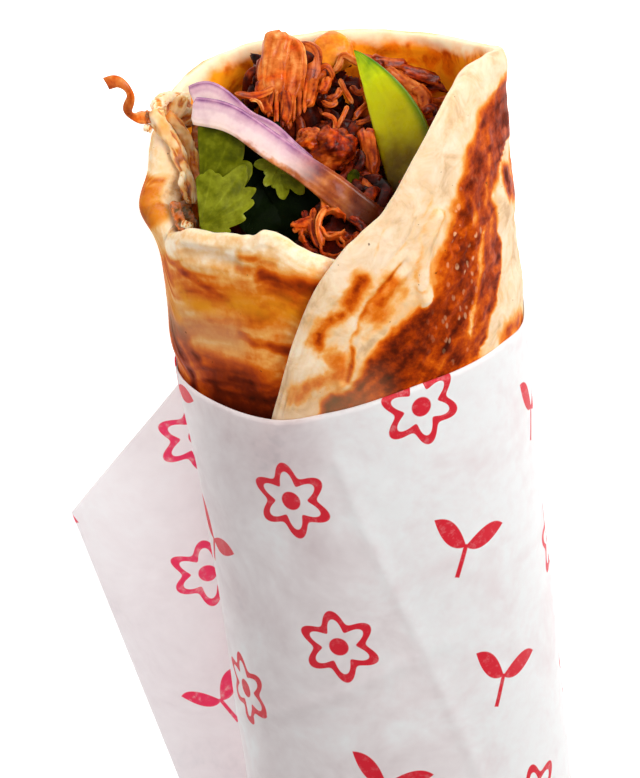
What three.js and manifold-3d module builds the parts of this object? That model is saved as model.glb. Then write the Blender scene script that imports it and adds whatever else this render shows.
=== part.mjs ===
// Kati roll: a flaky flatbread rolled round shredded chicken, red onion, coriander leaves and a lime
// wedge, in a paper wrap whose loose end stands off as a tail.
// Units are millimetres and degrees. The roll lies along Y with its open mouth at +Y and rests on Z = 0.
// Inside this file the roll's axis is x = 0, z = 0, and y = 0 is the paper's rim; the group at the end
// moves everything so that the origin is the middle of the footprint.
import * as THREE from "three";
import { mergeVertices } from "three/addons/utils/BufferGeometryUtils.js";
import Module from "manifold-3d";

// Driving dimensions.
const ROLL_RADIUS = 29; // outside of the paper
const UNDERSIDE_FLAT = 1.2; // how far the roll's own weight presses its underside flat
const GAP = 0.3; // clearance kept between touching pieces
const BED_GAP = 0.4; // and round the toppings in their beds

const PAPER_THICKNESS = 0.5;
const PAPER_STEP = PAPER_THICKNESS + GAP; // from one winding to the next
const PAPER_BARREL = 125; // rim to the start of the rounded closed end
const PAPER_CORNER = 6; // radius of that rounding
const PAPER_DISH = 2; // how far the closed end dips in at its middle
const PAPER_HOLE = 1.6; // radius left open where the pleats meet
const PAPER_PLEATS = 12;
const PAPER_FLARE = 1.2; // the rim opens a little, most on the left
const FLARE_DEPTH = 26; // how far down from the rim that flare reaches
const WRAP_START = 188; // angle at which the paper leaves the barrel and becomes the tail
const WRAP_TURN = 470; // angle that the paper covers on the barrel
const UNDER_FROM = 275; // turned angle where the winding starts to run under its own beginning
const UNDER_TO = 352;
const CAP_TURN = 118; // angle over which the outer winding gives up the closed end to the inner one

const TAIL_REACH = 54.6; // from the axis to the tail's corner
const TAIL_CORNER_Y = -38.7;
const TAIL_SLANT = 0.188; // how fast the free edge runs back towards the barrel
const TAIL_CREST = 9;
const TAIL_LANDING = 12; // where the tail lifts off the table
const TAIL_EDGE_LIFT = 0.7;
const TAIL_CREST_AT = 0.55; // share of the way from there to the free edge

const BREAD_THICKNESS = 2.6;
const BREAD_BOTTOM = -122;
const BREAD_SWELL = 1.2; // how much it swells out above the paper
const BREAD_START = 75; // angle of the hidden inner end
const BREAD_TURN = 480;
const TUCK_FROM = 115; // unrolled angles between which the inner winding comes out to the full radius
const TUCK_TO = 175;
const FOLD_IN = 7; // how far the left rim folds in over the filling
const FOLD_LENGTH = 9;

const FILLING_BOTTOM = -121.6;
const FILLING_LEVEL = 31; // general level of the filling in the mouth

// Height of the paper's rim by angle round the axis: it waves a little.
const PAPER_RIM = [
  [-285, 1.6],
  [-150, 1.6],
  [-86, 1],
  [-60, 2.2],
  [-24, -0.2],
  [0, 1],
  [50, 3.9],
  [86, 1.8],
  [188, 1.6],
];

// Height of the bread's edge above the paper's rim, by unrolled angle from the hidden inner end.
const BREAD_EDGE = [
  [0, 18],
  [60, 24],
  [80, 27],
  [98, 31.3],
  [125, 29.6],
  [149, 27.2],
  [157, 26.6],
  [163, 31],
  [170, 39],
  [178, 42.6],
  [200, 41.5],
  [228, 44],
  [248, 46],
  [280, 44.7],
  [315, 45.8],
  [343, 49.8],
  [356, 50.3],
  [375, 48.4],
  [392, 46.4],
  [404, 41.8],
  [420, 33.8],
  [434, 29],
  [446, 22],
  [455, 13.4],
  [462, 5],
  [467, -0.6],
  [472, -8],
  [480, -30],
];

// Direction in which the mouth's slanted opening faces.
const OPENING_NORMAL = new THREE.Vector3(0, 0.42, 0.91).normalize();

const wasm = await Module();
wasm.setup();

// ---- Small helpers ----

const radians = THREE.MathUtils.degToRad;
const { lerp, smoothstep, clamp } = THREE.MathUtils;
const bump = (x, centre, width) => Math.exp(-(((x - centre) / width) ** 2));

// A smooth function through [x, value] pairs, with no overshoot at steps (monotone cubic).
function profile(pairs) {
  const slopes = pairs.slice(1).map(([x, v], i) => (v - pairs[i][1]) / (x - pairs[i][0]));
  const tangents = pairs.map((_, i) => {
    if (i === 0) return slopes[0];
    if (i === pairs.length - 1) return slopes[i - 1];
    const [before, after] = [slopes[i - 1], slopes[i]];
    return before * after <= 0 ? 0 : (2 * before * after) / (before + after);
  });
  return (x) => {
    let i = 0;
    while (i < pairs.length - 2 && x > pairs[i + 1][0]) i++;
    const [x0, v0] = pairs[i];
    const [x1, v1] = pairs[i + 1];
    const span = x1 - x0;
    const t = clamp((x - x0) / span, 0, 1);
    const s = 1 - t;
    return (
      v0 * s * s * (1 + 2 * t) +
      v1 * t * t * (3 - 2 * t) +
      tangents[i] * span * t * s * s -
      tangents[i + 1] * span * t * t * s
    );
  };
}

// The underside of every layer is pressed flat where the roll rests.
function pressed(x, z) {
  const inFromOutside = ROLL_RADIUS - Math.hypot(x, z);
  return Math.max(z, UNDERSIDE_FLAT - ROLL_RADIUS + inFromOutside);
}

// A point at an angle round the axis, 0 at the top and growing towards +X.
function around(angle, radius, y) {
  const x = radius * Math.sin(radians(angle));
  return new THREE.Vector3(x, y, pressed(x, radius * Math.cos(radians(angle))));
}

function geometryOf(points, triangles) {
  const geometry = new THREE.BufferGeometry();
  geometry.setAttribute("position", new THREE.Float32BufferAttribute(points.flatMap((p) => p.toArray()), 3));
  geometry.setIndex(triangles);
  const volume = triangles.reduce((sum, _, i) => {
    if (i % 3) return sum;
    const [a, b, c] = [0, 1, 2].map((k) => points[triangles[i + k]]);
    return sum + a.dot(b.clone().cross(c));
  }, 0);
  if (volume < 0) geometry.setIndex(triangles.reverse());
  return geometry;
}

// A closed skin from rings of points between two poles: point(u, v), u round the ring, v pole to pole.
function closedSkin(around, along, point) {
  const points = [point(0, 0)];
  for (let j = 1; j < along; j++) for (let i = 0; i < around; i++) points.push(point(i / around, j / along));
  points.push(point(0, 1));
  const last = points.length - 1;
  const ring = (j, i) => 1 + (j - 1) * around + (i % around);
  const triangles = [];
  for (let i = 0; i < around; i++) {
    triangles.push(0, ring(1, i), ring(1, i + 1));
    for (let j = 1; j < along - 1; j++) {
      triangles.push(ring(j, i), ring(j + 1, i), ring(j + 1, i + 1));
      triangles.push(ring(j, i), ring(j + 1, i + 1), ring(j, i + 1));
    }
    triangles.push(last, ring(along - 1, i + 1), ring(along - 1, i));
  }
  return geometryOf(points, triangles);
}

// A sheet of stated thickness on both sides of middle(u, v), closed along its four edges.
function sheet(columns, rows, middle, thickness) {
  const step = 1e-3;
  const sides = [[], []];
  for (let j = 0; j <= rows; j++) {
    for (let i = 0; i <= columns; i++) {
      const [u, v] = [i / columns, j / rows];
      const [u0, u1] = [Math.max(u - step, 0), Math.min(u + step, 1)];
      const [v0, v1] = [Math.max(v - step, 0), Math.min(v + step, 1)];
      const along = middle(u1, v).sub(middle(u0, v));
      const normal = along.cross(middle(u, v1).sub(middle(u, v0))).normalize();
      const half = thickness(u, v) / 2;
      sides[0].push(middle(u, v).addScaledVector(normal, half));
      sides[1].push(middle(u, v).addScaledVector(normal, -half));
    }
  }
  const count = sides[0].length;
  const at = (j, i) => j * (columns + 1) + i;
  const triangles = [];
  const quad = (a, b, c, d) => triangles.push(a, b, c, a, c, d);
  for (let j = 0; j < rows; j++) {
    for (let i = 0; i < columns; i++) {
      quad(at(j, i), at(j, i + 1), at(j + 1, i + 1), at(j + 1, i));
      quad(count + at(j, i), count + at(j + 1, i), count + at(j + 1, i + 1), count + at(j, i + 1));
    }
    quad(at(j, 0), at(j + 1, 0), count + at(j + 1, 0), count + at(j, 0));
    quad(at(j + 1, columns), at(j, columns), count + at(j, columns), count + at(j + 1, columns));
  }
  for (let i = 0; i < columns; i++) {
    quad(at(0, i + 1), at(0, i), count + at(0, i), count + at(0, i + 1));
    quad(at(rows, i), at(rows, i + 1), count + at(rows, i + 1), count + at(rows, i));
  }
  return geometryOf([...sides[0], ...sides[1]], triangles);
}

// What is left of one geometry once others are cut out of it.
function carved(geometry, cutters) {
  const solidOf = (g) => {
    const bare = g.clone();
    ["normal", "uv"].forEach((name) => bare.deleteAttribute(name));
    const merged = mergeVertices(bare, 1e-4);
    return new wasm.Manifold(
      new wasm.Mesh({
        numProp: 3,
        vertProperties: merged.attributes.position.array,
        triVerts: new Uint32Array(merged.index.array),
      }),
    );
  };
  const left = cutters.reduce((solid, cutter) => solid.subtract(solidOf(cutter)), solidOf(geometry));
  const largest = left.decompose().sort((a, b) => b.volume() - a.volume())[0];
  const mesh = largest.getMesh();
  const made = new THREE.BufferGeometry();
  made.setAttribute("position", new THREE.BufferAttribute(mesh.vertProperties, 3));
  made.setIndex(new THREE.BufferAttribute(mesh.triVerts, 1));
  return made;
}

function piece(name, geometry, colour, roughness) {
  const material = new THREE.MeshStandardMaterial({ color: colour, roughness, metalness: 0 });
  const mesh = new THREE.Mesh(geometry, material);
  mesh.name = name;
  return mesh;
}

// ---- Bread: one sheet rolled into a tube that overlaps itself, with a slanted mouth ----

const breadEdge = profile(BREAD_EDGE);
const rimHeight = profile(PAPER_RIM);
const INSIDE_PAPER = ROLL_RADIUS - 2 * PAPER_STEP; // the bread's outside where the paper squeezes it

// Angle round the axis in the range of the rim's profile.
const wrapped = (angle) => THREE.MathUtils.euclideanModulo(angle + 172, 360) - 172;

// Extra radius of everything near the paper's rim.
function flare(angle, y) {
  const side = bump(wrapped(angle), -90, 32) + 0.4 * bump(wrapped(angle), 90, 32);
  return PAPER_FLARE * side * smoothstep(y, -FLARE_DEPTH, 2);
}

// The bread's outside before its folds.
function outsideRadius(angle, y) {
  const rim = rimHeight(wrapped(angle));
  const leftBulge = 1.1 * bump(wrapped(angle), -90, 30) * bump(y, 6, 4) * smoothstep(y, rim, rim + 3);
  return INSIDE_PAPER + flare(angle, y) + BREAD_SWELL * smoothstep(y, rim + 0.4, rim + 9) + leftBulge;
}

// How much further in the inner winding runs.
const tuck = (unrolled) => (BREAD_THICKNESS + 2 * GAP) * (1 - smoothstep(unrolled, TUCK_FROM, TUCK_TO));

function breadPoint(unrolled, down) {
  const angle = BREAD_START - unrolled;
  const edge = breadEdge(unrolled);
  const leftFold = bump(unrolled, 173, 17);
  const s = clamp(down / FOLD_LENGTH, 0, 1);
  const y = edge - down + leftFold * FOLD_LENGTH * (s - s ** 1.7);
  const fold = FOLD_IN * leftFold * (1 - s) ** 2;
  const tongue = 2.8 * bump(unrolled, 165, 9) * bump(y, 30, 5);
  const corner = 1.5 * bump(unrolled, 352, 18) * smoothstep(y, 30, 50);
  const pleat = 3.4 * bump(unrolled, 199, 9) * smoothstep(y, 33, 42);
  const bent = tongue + corner - fold - pleat;
  return around(angle, outsideRadius(angle, y) - tuck(unrolled) - BREAD_THICKNESS / 2 + bent, y);
}

// Columns crowd where the left rim steps up; rows crowd towards the edge.
const breadColumn = profile([
  [0, 0],
  [0.27, 148],
  [0.45, 212],
  [0.78, 385],
  [1, BREAD_TURN],
]);
const BREAD_ROWS_ABOVE = 0.8; // share of the rows above the paper's rim

function breadMiddle(u, v) {
  const unrolled = breadColumn(u);
  const edge = breadEdge(unrolled);
  const knee = edge - Math.min(rimHeight(wrapped(BREAD_START - unrolled)), edge - 8);
  const share = Math.min(v / BREAD_ROWS_ABOVE, 1);
  const below = clamp((v - BREAD_ROWS_ABOVE) / (1 - BREAD_ROWS_ABOVE), 0, 1);
  return breadPoint(unrolled, knee * share ** 1.4 + (edge - BREAD_BOTTOM - knee) * below ** 2.5);
}

function breadThickness(u, v) {
  const fromEdge = Math.min(v * 10, (1 - u) * 60, 1);
  return BREAD_THICKNESS * lerp(0.5, 1, Math.sqrt(fromEdge));
}

const bread = () => piece("bread", sheet(92, 10, breadMiddle, breadThickness), 0xe3bd82, 0.6);

// ---- Paper: one sheet wound round the barrel, closed in pleats at the far end, with a loose tail ----

const TAIL_COLUMNS = 0.18; // share of the columns that lie in the tail
const BARREL_ROWS = 0.375; // share of the rows on the open part of the barrel
const END_LENGTH = 12; // length of barrel that shares its rows with the closed end
const tailEdgeX = (y) => -(TAIL_REACH + TAIL_SLANT * (y - TAIL_CORNER_Y));

function tailPoint(across, v) {
  const start = barrelPoint(WRAP_START, 0, 0);
  const topY = lerp(TAIL_CORNER_Y, start.y, 1 - (1 - across) ** 1.5);
  const y = lerp(topY, -PAPER_BARREL, v);
  const x = lerp(tailEdgeX(y), start.x, across);
  const reach = -tailEdgeX(y) - TAIL_LANDING;
  const q = (-x - TAIL_LANDING) / reach;
  const crest = (TAIL_CREST * reach) / (TAIL_REACH - TAIL_LANDING);
  const fall = clamp((q - TAIL_CREST_AT) / (1 - TAIL_CREST_AT), 0, 1);
  const arch = crest * smoothstep(q, 0, TAIL_CREST_AT) * (1 - fall * fall);
  const lift = arch + TAIL_EDGE_LIFT * smoothstep(q, 0, 1);
  return new THREE.Vector3(x, y, UNDERSIDE_FLAT - ROLL_RADIUS + PAPER_THICKNESS / 2 + lift);
}

// Length of barrel from the rim down, for the outer winding (0) or the one under it (1).
const rimOf = (angle, winding) => rimHeight(wrapped(angle)) - winding;
const endOf = (winding) => winding * (PAPER_STEP + 0.5) - PAPER_BARREL;

// The paper's middle by distance from the rim: down the barrel, round the corner, in to the centre.
function barrelPoint(angle, distance, winding) {
  const radius = ROLL_RADIUS - PAPER_THICKNESS / 2 - winding * PAPER_STEP;
  const rim = rimOf(angle, winding);
  const end = endOf(winding);
  const straight = rim - end;
  if (distance <= straight) return around(angle, radius + flare(angle, rim - distance), rim - distance);
  const turn = Math.min((distance - straight) / PAPER_CORNER, Math.PI / 2);
  const run = Math.max(distance - straight - (PAPER_CORNER * Math.PI) / 2, 0);
  const r = Math.max(radius - PAPER_CORNER * (1 - Math.cos(turn)) - run, PAPER_HOLE);
  const dish = PAPER_DISH * (1 - smoothstep(r, 0, 20));
  const pleat = 0.05 * r * (1 - smoothstep(r, 14, 24)) * Math.sin(radians(angle * PAPER_PLEATS));
  return around(angle, r, end - PAPER_CORNER * Math.sin(turn) + dish + pleat);
}

// Distance along the last rows: to the corner, round it in two steps, then in over the closed end.
const endRows = (fullCap) =>
  profile([
    [0, 0],
    [0.2, END_LENGTH],
    [0.4, END_LENGTH + (PAPER_CORNER * Math.PI) / 4],
    [0.6, END_LENGTH + (PAPER_CORNER * Math.PI) / 2],
    [0.8, END_LENGTH + fullCap * 0.66],
    [1, END_LENGTH + fullCap],
  ]);

function paperMiddle(u, v) {
  if (u <= TAIL_COLUMNS) return tailPoint(u / TAIL_COLUMNS, v);
  const turned = ((u - TAIL_COLUMNS) / (1 - TAIL_COLUMNS)) * WRAP_TURN;
  const angle = WRAP_START - turned;
  const winding = smoothstep(turned, UNDER_FROM, UNDER_TO);
  const open = rimOf(angle, winding) - endOf(winding) - END_LENGTH;
  const radius = ROLL_RADIUS - PAPER_THICKNESS / 2 - winding * PAPER_STEP;
  const fullCap = (PAPER_CORNER * Math.PI) / 2 + radius - PAPER_CORNER - PAPER_HOLE;
  const down = Math.min(v / BARREL_ROWS, 1);
  const last = clamp((v - BARREL_ROWS) / (1 - BARREL_ROWS), 0, 1);
  const end = lerp(END_LENGTH * last, endRows(fullCap)(last), smoothstep(turned, 0, CAP_TURN));
  return barrelPoint(angle, open * down ** 1.5 + end, winding);
}

const paper = () => piece("paper_wrap", sheet(76, 8, paperMiddle, () => PAPER_THICKNESS), 0xf2eeee, 0.8);

// ---- Filling: one heap out to its uneven outline, with the toppings' beds cut into it ----

// Radius that the bread leaves for the filling where the paper squeezes it, less the gap.
function boreRadius(angle) {
  const unrolled = THREE.MathUtils.euclideanModulo(BREAD_START - angle + 40, 360) - 40;
  const tucked = unrolled < 0 ? tuck(0) * (1 - smoothstep(-unrolled, 4, 18)) : tuck(unrolled);
  return INSIDE_PAPER - tucked - BREAD_THICKNESS - GAP;
}

// Lumps of the heap: [x, z, height, breadth in x, breadth in z]. The tallest at a place counts.
const LUMPS = [
  [-5.6, -16.5, 19.4, 7, 5.5],
  [2.5, -20, 15, 4.5, 4.5],
  [3, -8, 7, 4, 4],
  [17, -14, 4.5, 7, 5],
  [2.5, 2, 4, 3.5, 3],
  [-3, 15, 2.5, 5, 3.5],
];
const HOLLOW = [-12, 8, 8, 9, 6]; // where the leaves sit
const mound = (x, z, [cx, cz, h, wx, wz]) => h * Math.exp(-(((x - cx) / wx) ** 4) - ((z - cz) / wz) ** 4);

function fillingHeight(x, z) {
  const ripple = 0.7 * Math.sin(x * 0.9 + 1) * Math.cos(z * 1.1);
  const level = FILLING_LEVEL - 0.012 * Math.max(z, 0) ** 2 + ripple;
  const lump = Math.max(...LUMPS.map((one) => mound(x, z, one)));
  return level + lump - mound(x, z, HOLLOW);
}

const TOP_ROWS = 0.72; // shares of the rings on the top and down the side
const SIDE_ROWS = 0.16;

function fillingPoint(u, v) {
  const angle = u * 360;
  const bore = boreRadius(angle);
  const r = bore * Math.min(v / TOP_ROWS, (1 - v) / (1 - TOP_ROWS - SIDE_ROWS), 1);
  const height = fillingHeight(r * Math.sin(radians(angle)), r * Math.cos(radians(angle)));
  const top = height - 3 * smoothstep(r, bore - 4, bore);
  const down = clamp((v - TOP_ROWS) / SIDE_ROWS, 0, 1);
  return around(angle, r, lerp(top, FILLING_BOTTOM, down));
}

function filling(cutters) {
  return piece("chicken_filling", carved(closedSkin(38, 18, fillingPoint), cutters), 0x9a4a22, 0.45);
}

// ---- Toppings, each also made a little larger to cut its bed in the filling ----

// A strip along a curve, wide across the opening and thin through it, with rounded edges.
const STRIP_ROWS = 14;

function strip(points, width, thick, grow) {
  const curve = new THREE.CatmullRomCurve3(points.map((p) => new THREE.Vector3(...p)));
  const length = curve.getLength();
  return closedSkin(8, STRIP_ROWS, (u, v) => {
    const inner = clamp((v * STRIP_ROWS - 1) / (STRIP_ROWS - 2), 0, 1);
    const t = lerp(-grow, length + grow, inner) / length;
    const centre = curve.getPointAt(clamp(t, 0, 1));
    const tangent = curve.getTangentAt(clamp(t, 0, 1));
    centre.addScaledVector(tangent, (t - clamp(t, 0, 1)) * length);
    const normal = OPENING_NORMAL.clone().addScaledVector(tangent, -OPENING_NORMAL.dot(tangent)).normalize();
    const across = normal.clone().cross(tangent);
    const open = v > 0 && v < 1 ? 1 : 0;
    const turn = 2 * Math.PI * u;
    const w = open * (width(inner) / 2 + grow) * Math.sign(Math.cos(turn)) * Math.abs(Math.cos(turn)) ** 0.6;
    const h = open * (thick / 2 + grow) * Math.sign(Math.sin(turn)) * Math.abs(Math.sin(turn)) ** 0.6;
    return centre.addScaledVector(across, w).addScaledVector(normal, h);
  });
}

const ONION_WIDTH = 5;
const ONION_THICK = 2;
const ONION_FRONT = [
  [-20.8, 45, 2],
  [-13, 42.4, 6.5],
  [-5, 37.8, 10],
  [2, 32.6, 13],
  [9, 27.2, 14.8],
  [13, 22.5, 14.6],
];
const ONION_BACK = [
  [-20.2, 46.8, -2.6],
  [-13, 44.6, 1.6],
  [-6, 40.8, 5.4],
  [0, 36.4, 8],
  [6, 31.6, 9.6],
];
const onionFront = (grow = 0) => strip(ONION_FRONT, (t) => ONION_WIDTH * (1 + 0.15 * t), ONION_THICK, grow);
const onionBack = (grow = 0) => strip(ONION_BACK, (t) => ONION_WIDTH * (0.9 - 0.35 * t), ONION_THICK, grow);

// A leaf facing the opening: a thin lobed blade, cupped, about a centre. Grown to cut its bed.
const LEAF_THICKNESS = 0.7;

function leaf(centre, size, stretch, lean, cup, grow) {
  const right = new THREE.Vector3(Math.cos(radians(lean)), Math.sin(radians(lean)), 0);
  right.addScaledVector(OPENING_NORMAL, -right.dot(OPENING_NORMAL)).normalize();
  const up = OPENING_NORMAL.clone().cross(right);
  return closedSkin(20, 5, (u, v) => {
    const turn = 2 * Math.PI * u;
    const lobes = 1 + 0.14 * Math.cos(3 * turn + 0.6) + 0.07 * Math.cos(7 * turn);
    const latitude = Math.PI * v;
    const reach = (size * lobes + grow) * Math.sin(latitude) ** 0.7;
    const side = (LEAF_THICKNESS / 2 + grow) * Math.cos(latitude);
    const [a, b] = [reach * Math.cos(turn), reach * stretch * Math.sin(turn)];
    return new THREE.Vector3(...centre)
      .addScaledVector(right, a)
      .addScaledVector(up, b)
      .addScaledVector(OPENING_NORMAL, side - cup * (a * a + 0.5 * b * b));
  });
}

const corianderUpper = (grow = 0) => leaf([-17.4, 38.6, 5], 3.5, 1.25, 8, 0.03, grow);
const corianderLower = (grow = 0) => leaf([-17.2, 32.2, 10], 4.6, 0.95, -35, 0.02, grow);
const corianderSmall = (grow = 0) => leaf([-9.2, 34.4, 6.4], 3.2, 0.8, -30, 0.04, grow);
const corianderBed = (grow = 0) => leaf([-9.6, 27, 8.2], 6.6, 1, 20, 0.012, grow);

// A wedge of lime between two tips: a cut face towards the opening, the rind on its right.
const LIME_TIPS = [new THREE.Vector3(7, 47.6, -10), new THREE.Vector3(11.3, 19, 15)];
const LIME_DEPTH = 9.6;
const LIME_ANGLE = 46;

function lime(grow = 0) {
  const [from, to] = LIME_TIPS;
  const axis = to.clone().sub(from);
  const length = axis.length();
  axis.normalize();
  const face = OPENING_NORMAL.clone().addScaledVector(axis, -OPENING_NORMAL.dot(axis)).normalize();
  const outwards = face.clone().cross(axis);
  const outline = (u) => {
    const edge = u * 3;
    const turn = radians(LIME_ANGLE * clamp(edge - 1, 0, 1));
    const r = LIME_DEPTH * (edge < 1 ? edge : edge < 2 ? 1 : 3 - edge);
    return new THREE.Vector2(r * Math.cos(turn), -r * Math.sin(turn));
  };
  const inside = new THREE.Vector2(0.58, -0.24).multiplyScalar(LIME_DEPTH);
  return closedSkin(12, 11, (u, v) => {
    const at = outline(u).multiplyScalar(Math.sin(Math.PI * v));
    if (v > 0 && v < 1) at.add(outline(u).sub(inside).setLength(2 * grow));
    return from
      .clone()
      .addScaledVector(axis, lerp(-3 * grow, length + 3 * grow, v))
      .addScaledVector(outwards, at.x)
      .addScaledVector(face, at.y);
  });
}

// ---- The roll ----

function roll() {
  const group = new THREE.Group();
  const leaves = [corianderUpper, corianderLower, corianderSmall, corianderBed];
  const toppings = [onionFront, onionBack, lime, ...leaves];
  group.add(paper(), bread(), filling(toppings.map((topping) => topping(BED_GAP))));
  group.add(piece("onion_strip_front", onionFront(), 0xd9b9c8, 0.35));
  group.add(piece("onion_strip_back", onionBack(), 0xb98bb0, 0.35));
  group.add(piece("coriander_leaf_upper", corianderUpper(), 0x66842a, 0.5));
  group.add(piece("coriander_leaf_lower", corianderLower(), 0x7f9c48, 0.5));
  group.add(piece("coriander_leaf_small", corianderSmall(), 0x7d9a42, 0.5));
  group.add(piece("coriander_bed", corianderBed(), 0x1d3512, 0.55));
  group.add(piece("lime_wedge", lime(), 0xa3bd2c, 0.35));
  return group;
}

const katiRoll = roll();
const box = new THREE.Box3().setFromObject(katiRoll);
const middle = box.getCenter(new THREE.Vector3());
katiRoll.position.set(-middle.x, -middle.y, -box.min.z);

export default katiRoll;
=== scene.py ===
"""Kati roll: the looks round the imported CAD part.

Shapes are worked out in millimetres in the roll's own frame: its axis is x = 0, z = 0, its open mouth is at
+Y, y = 0 is the paper's rim, and angles go round the axis from the top (+Z) towards +X. place() moves them
into the part's frame, in metres.
"""

import math

import bpy
import numpy as np
from mathutils import Matrix, Vector


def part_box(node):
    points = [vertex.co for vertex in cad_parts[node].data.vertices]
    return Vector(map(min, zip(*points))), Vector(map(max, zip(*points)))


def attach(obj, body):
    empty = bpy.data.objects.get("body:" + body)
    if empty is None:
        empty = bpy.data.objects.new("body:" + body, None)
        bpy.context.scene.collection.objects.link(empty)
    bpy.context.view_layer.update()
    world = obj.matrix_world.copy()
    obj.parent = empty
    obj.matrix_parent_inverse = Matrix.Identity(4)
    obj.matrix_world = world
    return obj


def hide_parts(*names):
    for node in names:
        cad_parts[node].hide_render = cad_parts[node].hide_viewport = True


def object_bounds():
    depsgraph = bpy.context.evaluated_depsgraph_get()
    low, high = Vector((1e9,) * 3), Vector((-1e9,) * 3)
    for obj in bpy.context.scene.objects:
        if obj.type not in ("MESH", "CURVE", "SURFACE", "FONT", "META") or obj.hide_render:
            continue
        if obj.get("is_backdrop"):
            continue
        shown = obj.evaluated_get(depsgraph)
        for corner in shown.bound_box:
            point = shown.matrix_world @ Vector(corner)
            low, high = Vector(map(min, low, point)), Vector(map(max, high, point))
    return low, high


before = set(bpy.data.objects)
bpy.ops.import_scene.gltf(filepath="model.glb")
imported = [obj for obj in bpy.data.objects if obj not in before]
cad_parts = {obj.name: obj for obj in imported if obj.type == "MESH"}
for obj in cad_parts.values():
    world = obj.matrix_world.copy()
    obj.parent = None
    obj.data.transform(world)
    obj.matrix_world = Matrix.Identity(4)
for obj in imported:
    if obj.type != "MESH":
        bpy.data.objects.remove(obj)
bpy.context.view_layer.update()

# ---- Where the roll's own frame lies in the part's frame ----

AXIS_HEIGHT = 27.8  # the axis above the table, mm
BARREL_RIGHT = 29.45  # the paper's reach to the right of the axis
BREAD_TOP = 50.271  # the bread's highest point above the paper's rim
SHIFT = np.array(
    [
        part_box("paper_wrap")[1].x * 1000 - BARREL_RIGHT,
        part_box("bread")[1].y * 1000 - BREAD_TOP,
        AXIS_HEIGHT,
    ]
)

# Sizes shared with the solids.
ROLL_RADIUS = 29
UNDERSIDE_FLAT = 1.2
PAPER_STEP = 0.8
INSIDE_PAPER = ROLL_RADIUS - 2 * PAPER_STEP
BREAD_THICKNESS = 2.6
BREAD_BOTTOM = -122
BREAD_START = 75
BREAD_TURN = 480

PAPER_RIM = [(-285, 1.6), (-150, 1.6), (-86, 1.2), (-60, 0.9), (-30, 0), (-10, 1.6), (25, 4), (55, 4), (76, 3), (88, 4.1),
             (104, 4), (124, 3.2), (160, 2), (188, 1.6)]  # fmt: skip
BREAD_EDGE = [
    (0, 18), (60, 23), (80, 26.2), (91, 28.6), (96, 30.4), (103, 31.3), (110, 30), (125, 29.7), (137, 29.4),
    (146, 27.8), (154, 26.8), (160, 27), (165, 29.5),
    (170, 34), (175, 37.7), (179, 40.6), (184, 42.3), (193, 43), (202, 44.4), (215, 45.6), (240, 46.1),
    (262, 46), (280, 45.4), (315, 46), (330, 46.9), (343, 48.6), (352, 49.6), (361, 50.6), (370, 50.6),
    (380, 49.5), (390, 47.8), (400, 44.2), (410, 39), (420, 33.8), (434, 29), (446, 22), (455, 13.4),
    (462, 5), (467, -0.6), (472, -8), (480, -30),
]  # fmt: skip

OPENING = np.array([0, 0.42, 0.91])
OPENING = OPENING / np.linalg.norm(OPENING)  # direction in which the mouth's slanted opening faces

RNG = np.random.default_rng(11)

# ---- Small maths ----


def place(points):
    """Points of the roll's own frame, in mm, as points of the part's frame, in metres."""
    return (np.asarray(points, float) + SHIFT) / 1000


def unit(v):
    v = np.asarray(v, float)
    return v / np.maximum(np.linalg.norm(v, axis=-1, keepdims=True), 1e-9)


def lerp(a, b, t):
    return a + (b - a) * t


def smoothstep(x, low, high):
    t = np.clip((x - low) / (high - low), 0, 1)
    return t * t * (3 - 2 * t)


def bump(x, centre, width):
    return np.exp(-(((x - centre) / width) ** 2))


def profile(pairs):
    """A smooth function through (x, value) pairs, with no overshoot at steps (monotone cubic)."""
    xs, vs = np.array(pairs, float).T
    slopes = np.diff(vs) / np.diff(xs)
    before, after = slopes[:-1], slopes[1:]
    total = np.where(before + after == 0, 1, before + after)
    inner = np.where(before * after <= 0, 0, 2 * before * after / total)
    tangents = np.concatenate([slopes[:1], inner, slopes[-1:]])

    def value(x):
        i = np.clip(np.searchsorted(xs, x, side="left") - 1, 0, len(xs) - 2)
        span = xs[i + 1] - xs[i]
        t = np.clip((x - xs[i]) / span, 0, 1)
        s = 1 - t
        ends = vs[i] * s * s * (1 + 2 * t) + vs[i + 1] * t * t * (3 - 2 * t)
        return ends + span * t * s * (tangents[i] * s - tangents[i + 1] * t)

    return value


def hashed(i, j, k, seed):
    h = (i * 374761393 + j * 668265263 + k * 1274126177 + seed * 974634777) & 0xFFFFFFFF
    h = ((h ^ (h >> 13)) * 1274126177) & 0xFFFFFFFF
    return ((h ^ (h >> 16)) & 0xFFFF) / 0x7FFF - 1


def noise(points, size, seed=0, octaves=1):
    """Smooth noise between about -1 and 1, with features about size mm across. size may differ by axis."""
    p = np.asarray(points, float) / np.asarray(size, float)
    total, weight = 0, 0
    for octave in range(octaves):
        q = p * 2**octave + 17.3 * octave
        cell = np.floor(q).astype(np.int64)
        f = q - cell
        f = f * f * f * (f * (f * 6 - 15) + 10)
        value = 0
        for a in (0, 1):
            for b in (0, 1):
                for c in (0, 1):
                    corner = hashed(cell[..., 0] + a, cell[..., 1] + b, cell[..., 2] + c, seed + octave)
                    share = (f[..., 0] if a else 1 - f[..., 0]) * (f[..., 1] if b else 1 - f[..., 1])
                    value = value + corner * share * (f[..., 2] if c else 1 - f[..., 2])
        total = total + value * 0.5**octave
        weight += 0.5**octave
    return total / weight * 1.6


def to_line(x, y, points):
    """Distance from (x, y) to the line through points."""
    nearest = np.full(np.shape(x), 1e9)
    for (x0, y0), (x1, y1) in zip(points, points[1:]):
        dx, dy = x1 - x0, y1 - y0
        t = np.clip(((x - x0) * dx + (y - y0) * dy) / (dx * dx + dy * dy + 1e-9), 0, 1)
        nearest = np.minimum(nearest, np.hypot(x - x0 - t * dx, y - y0 - t * dy))
    return nearest


# ---- Meshes ----


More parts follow.
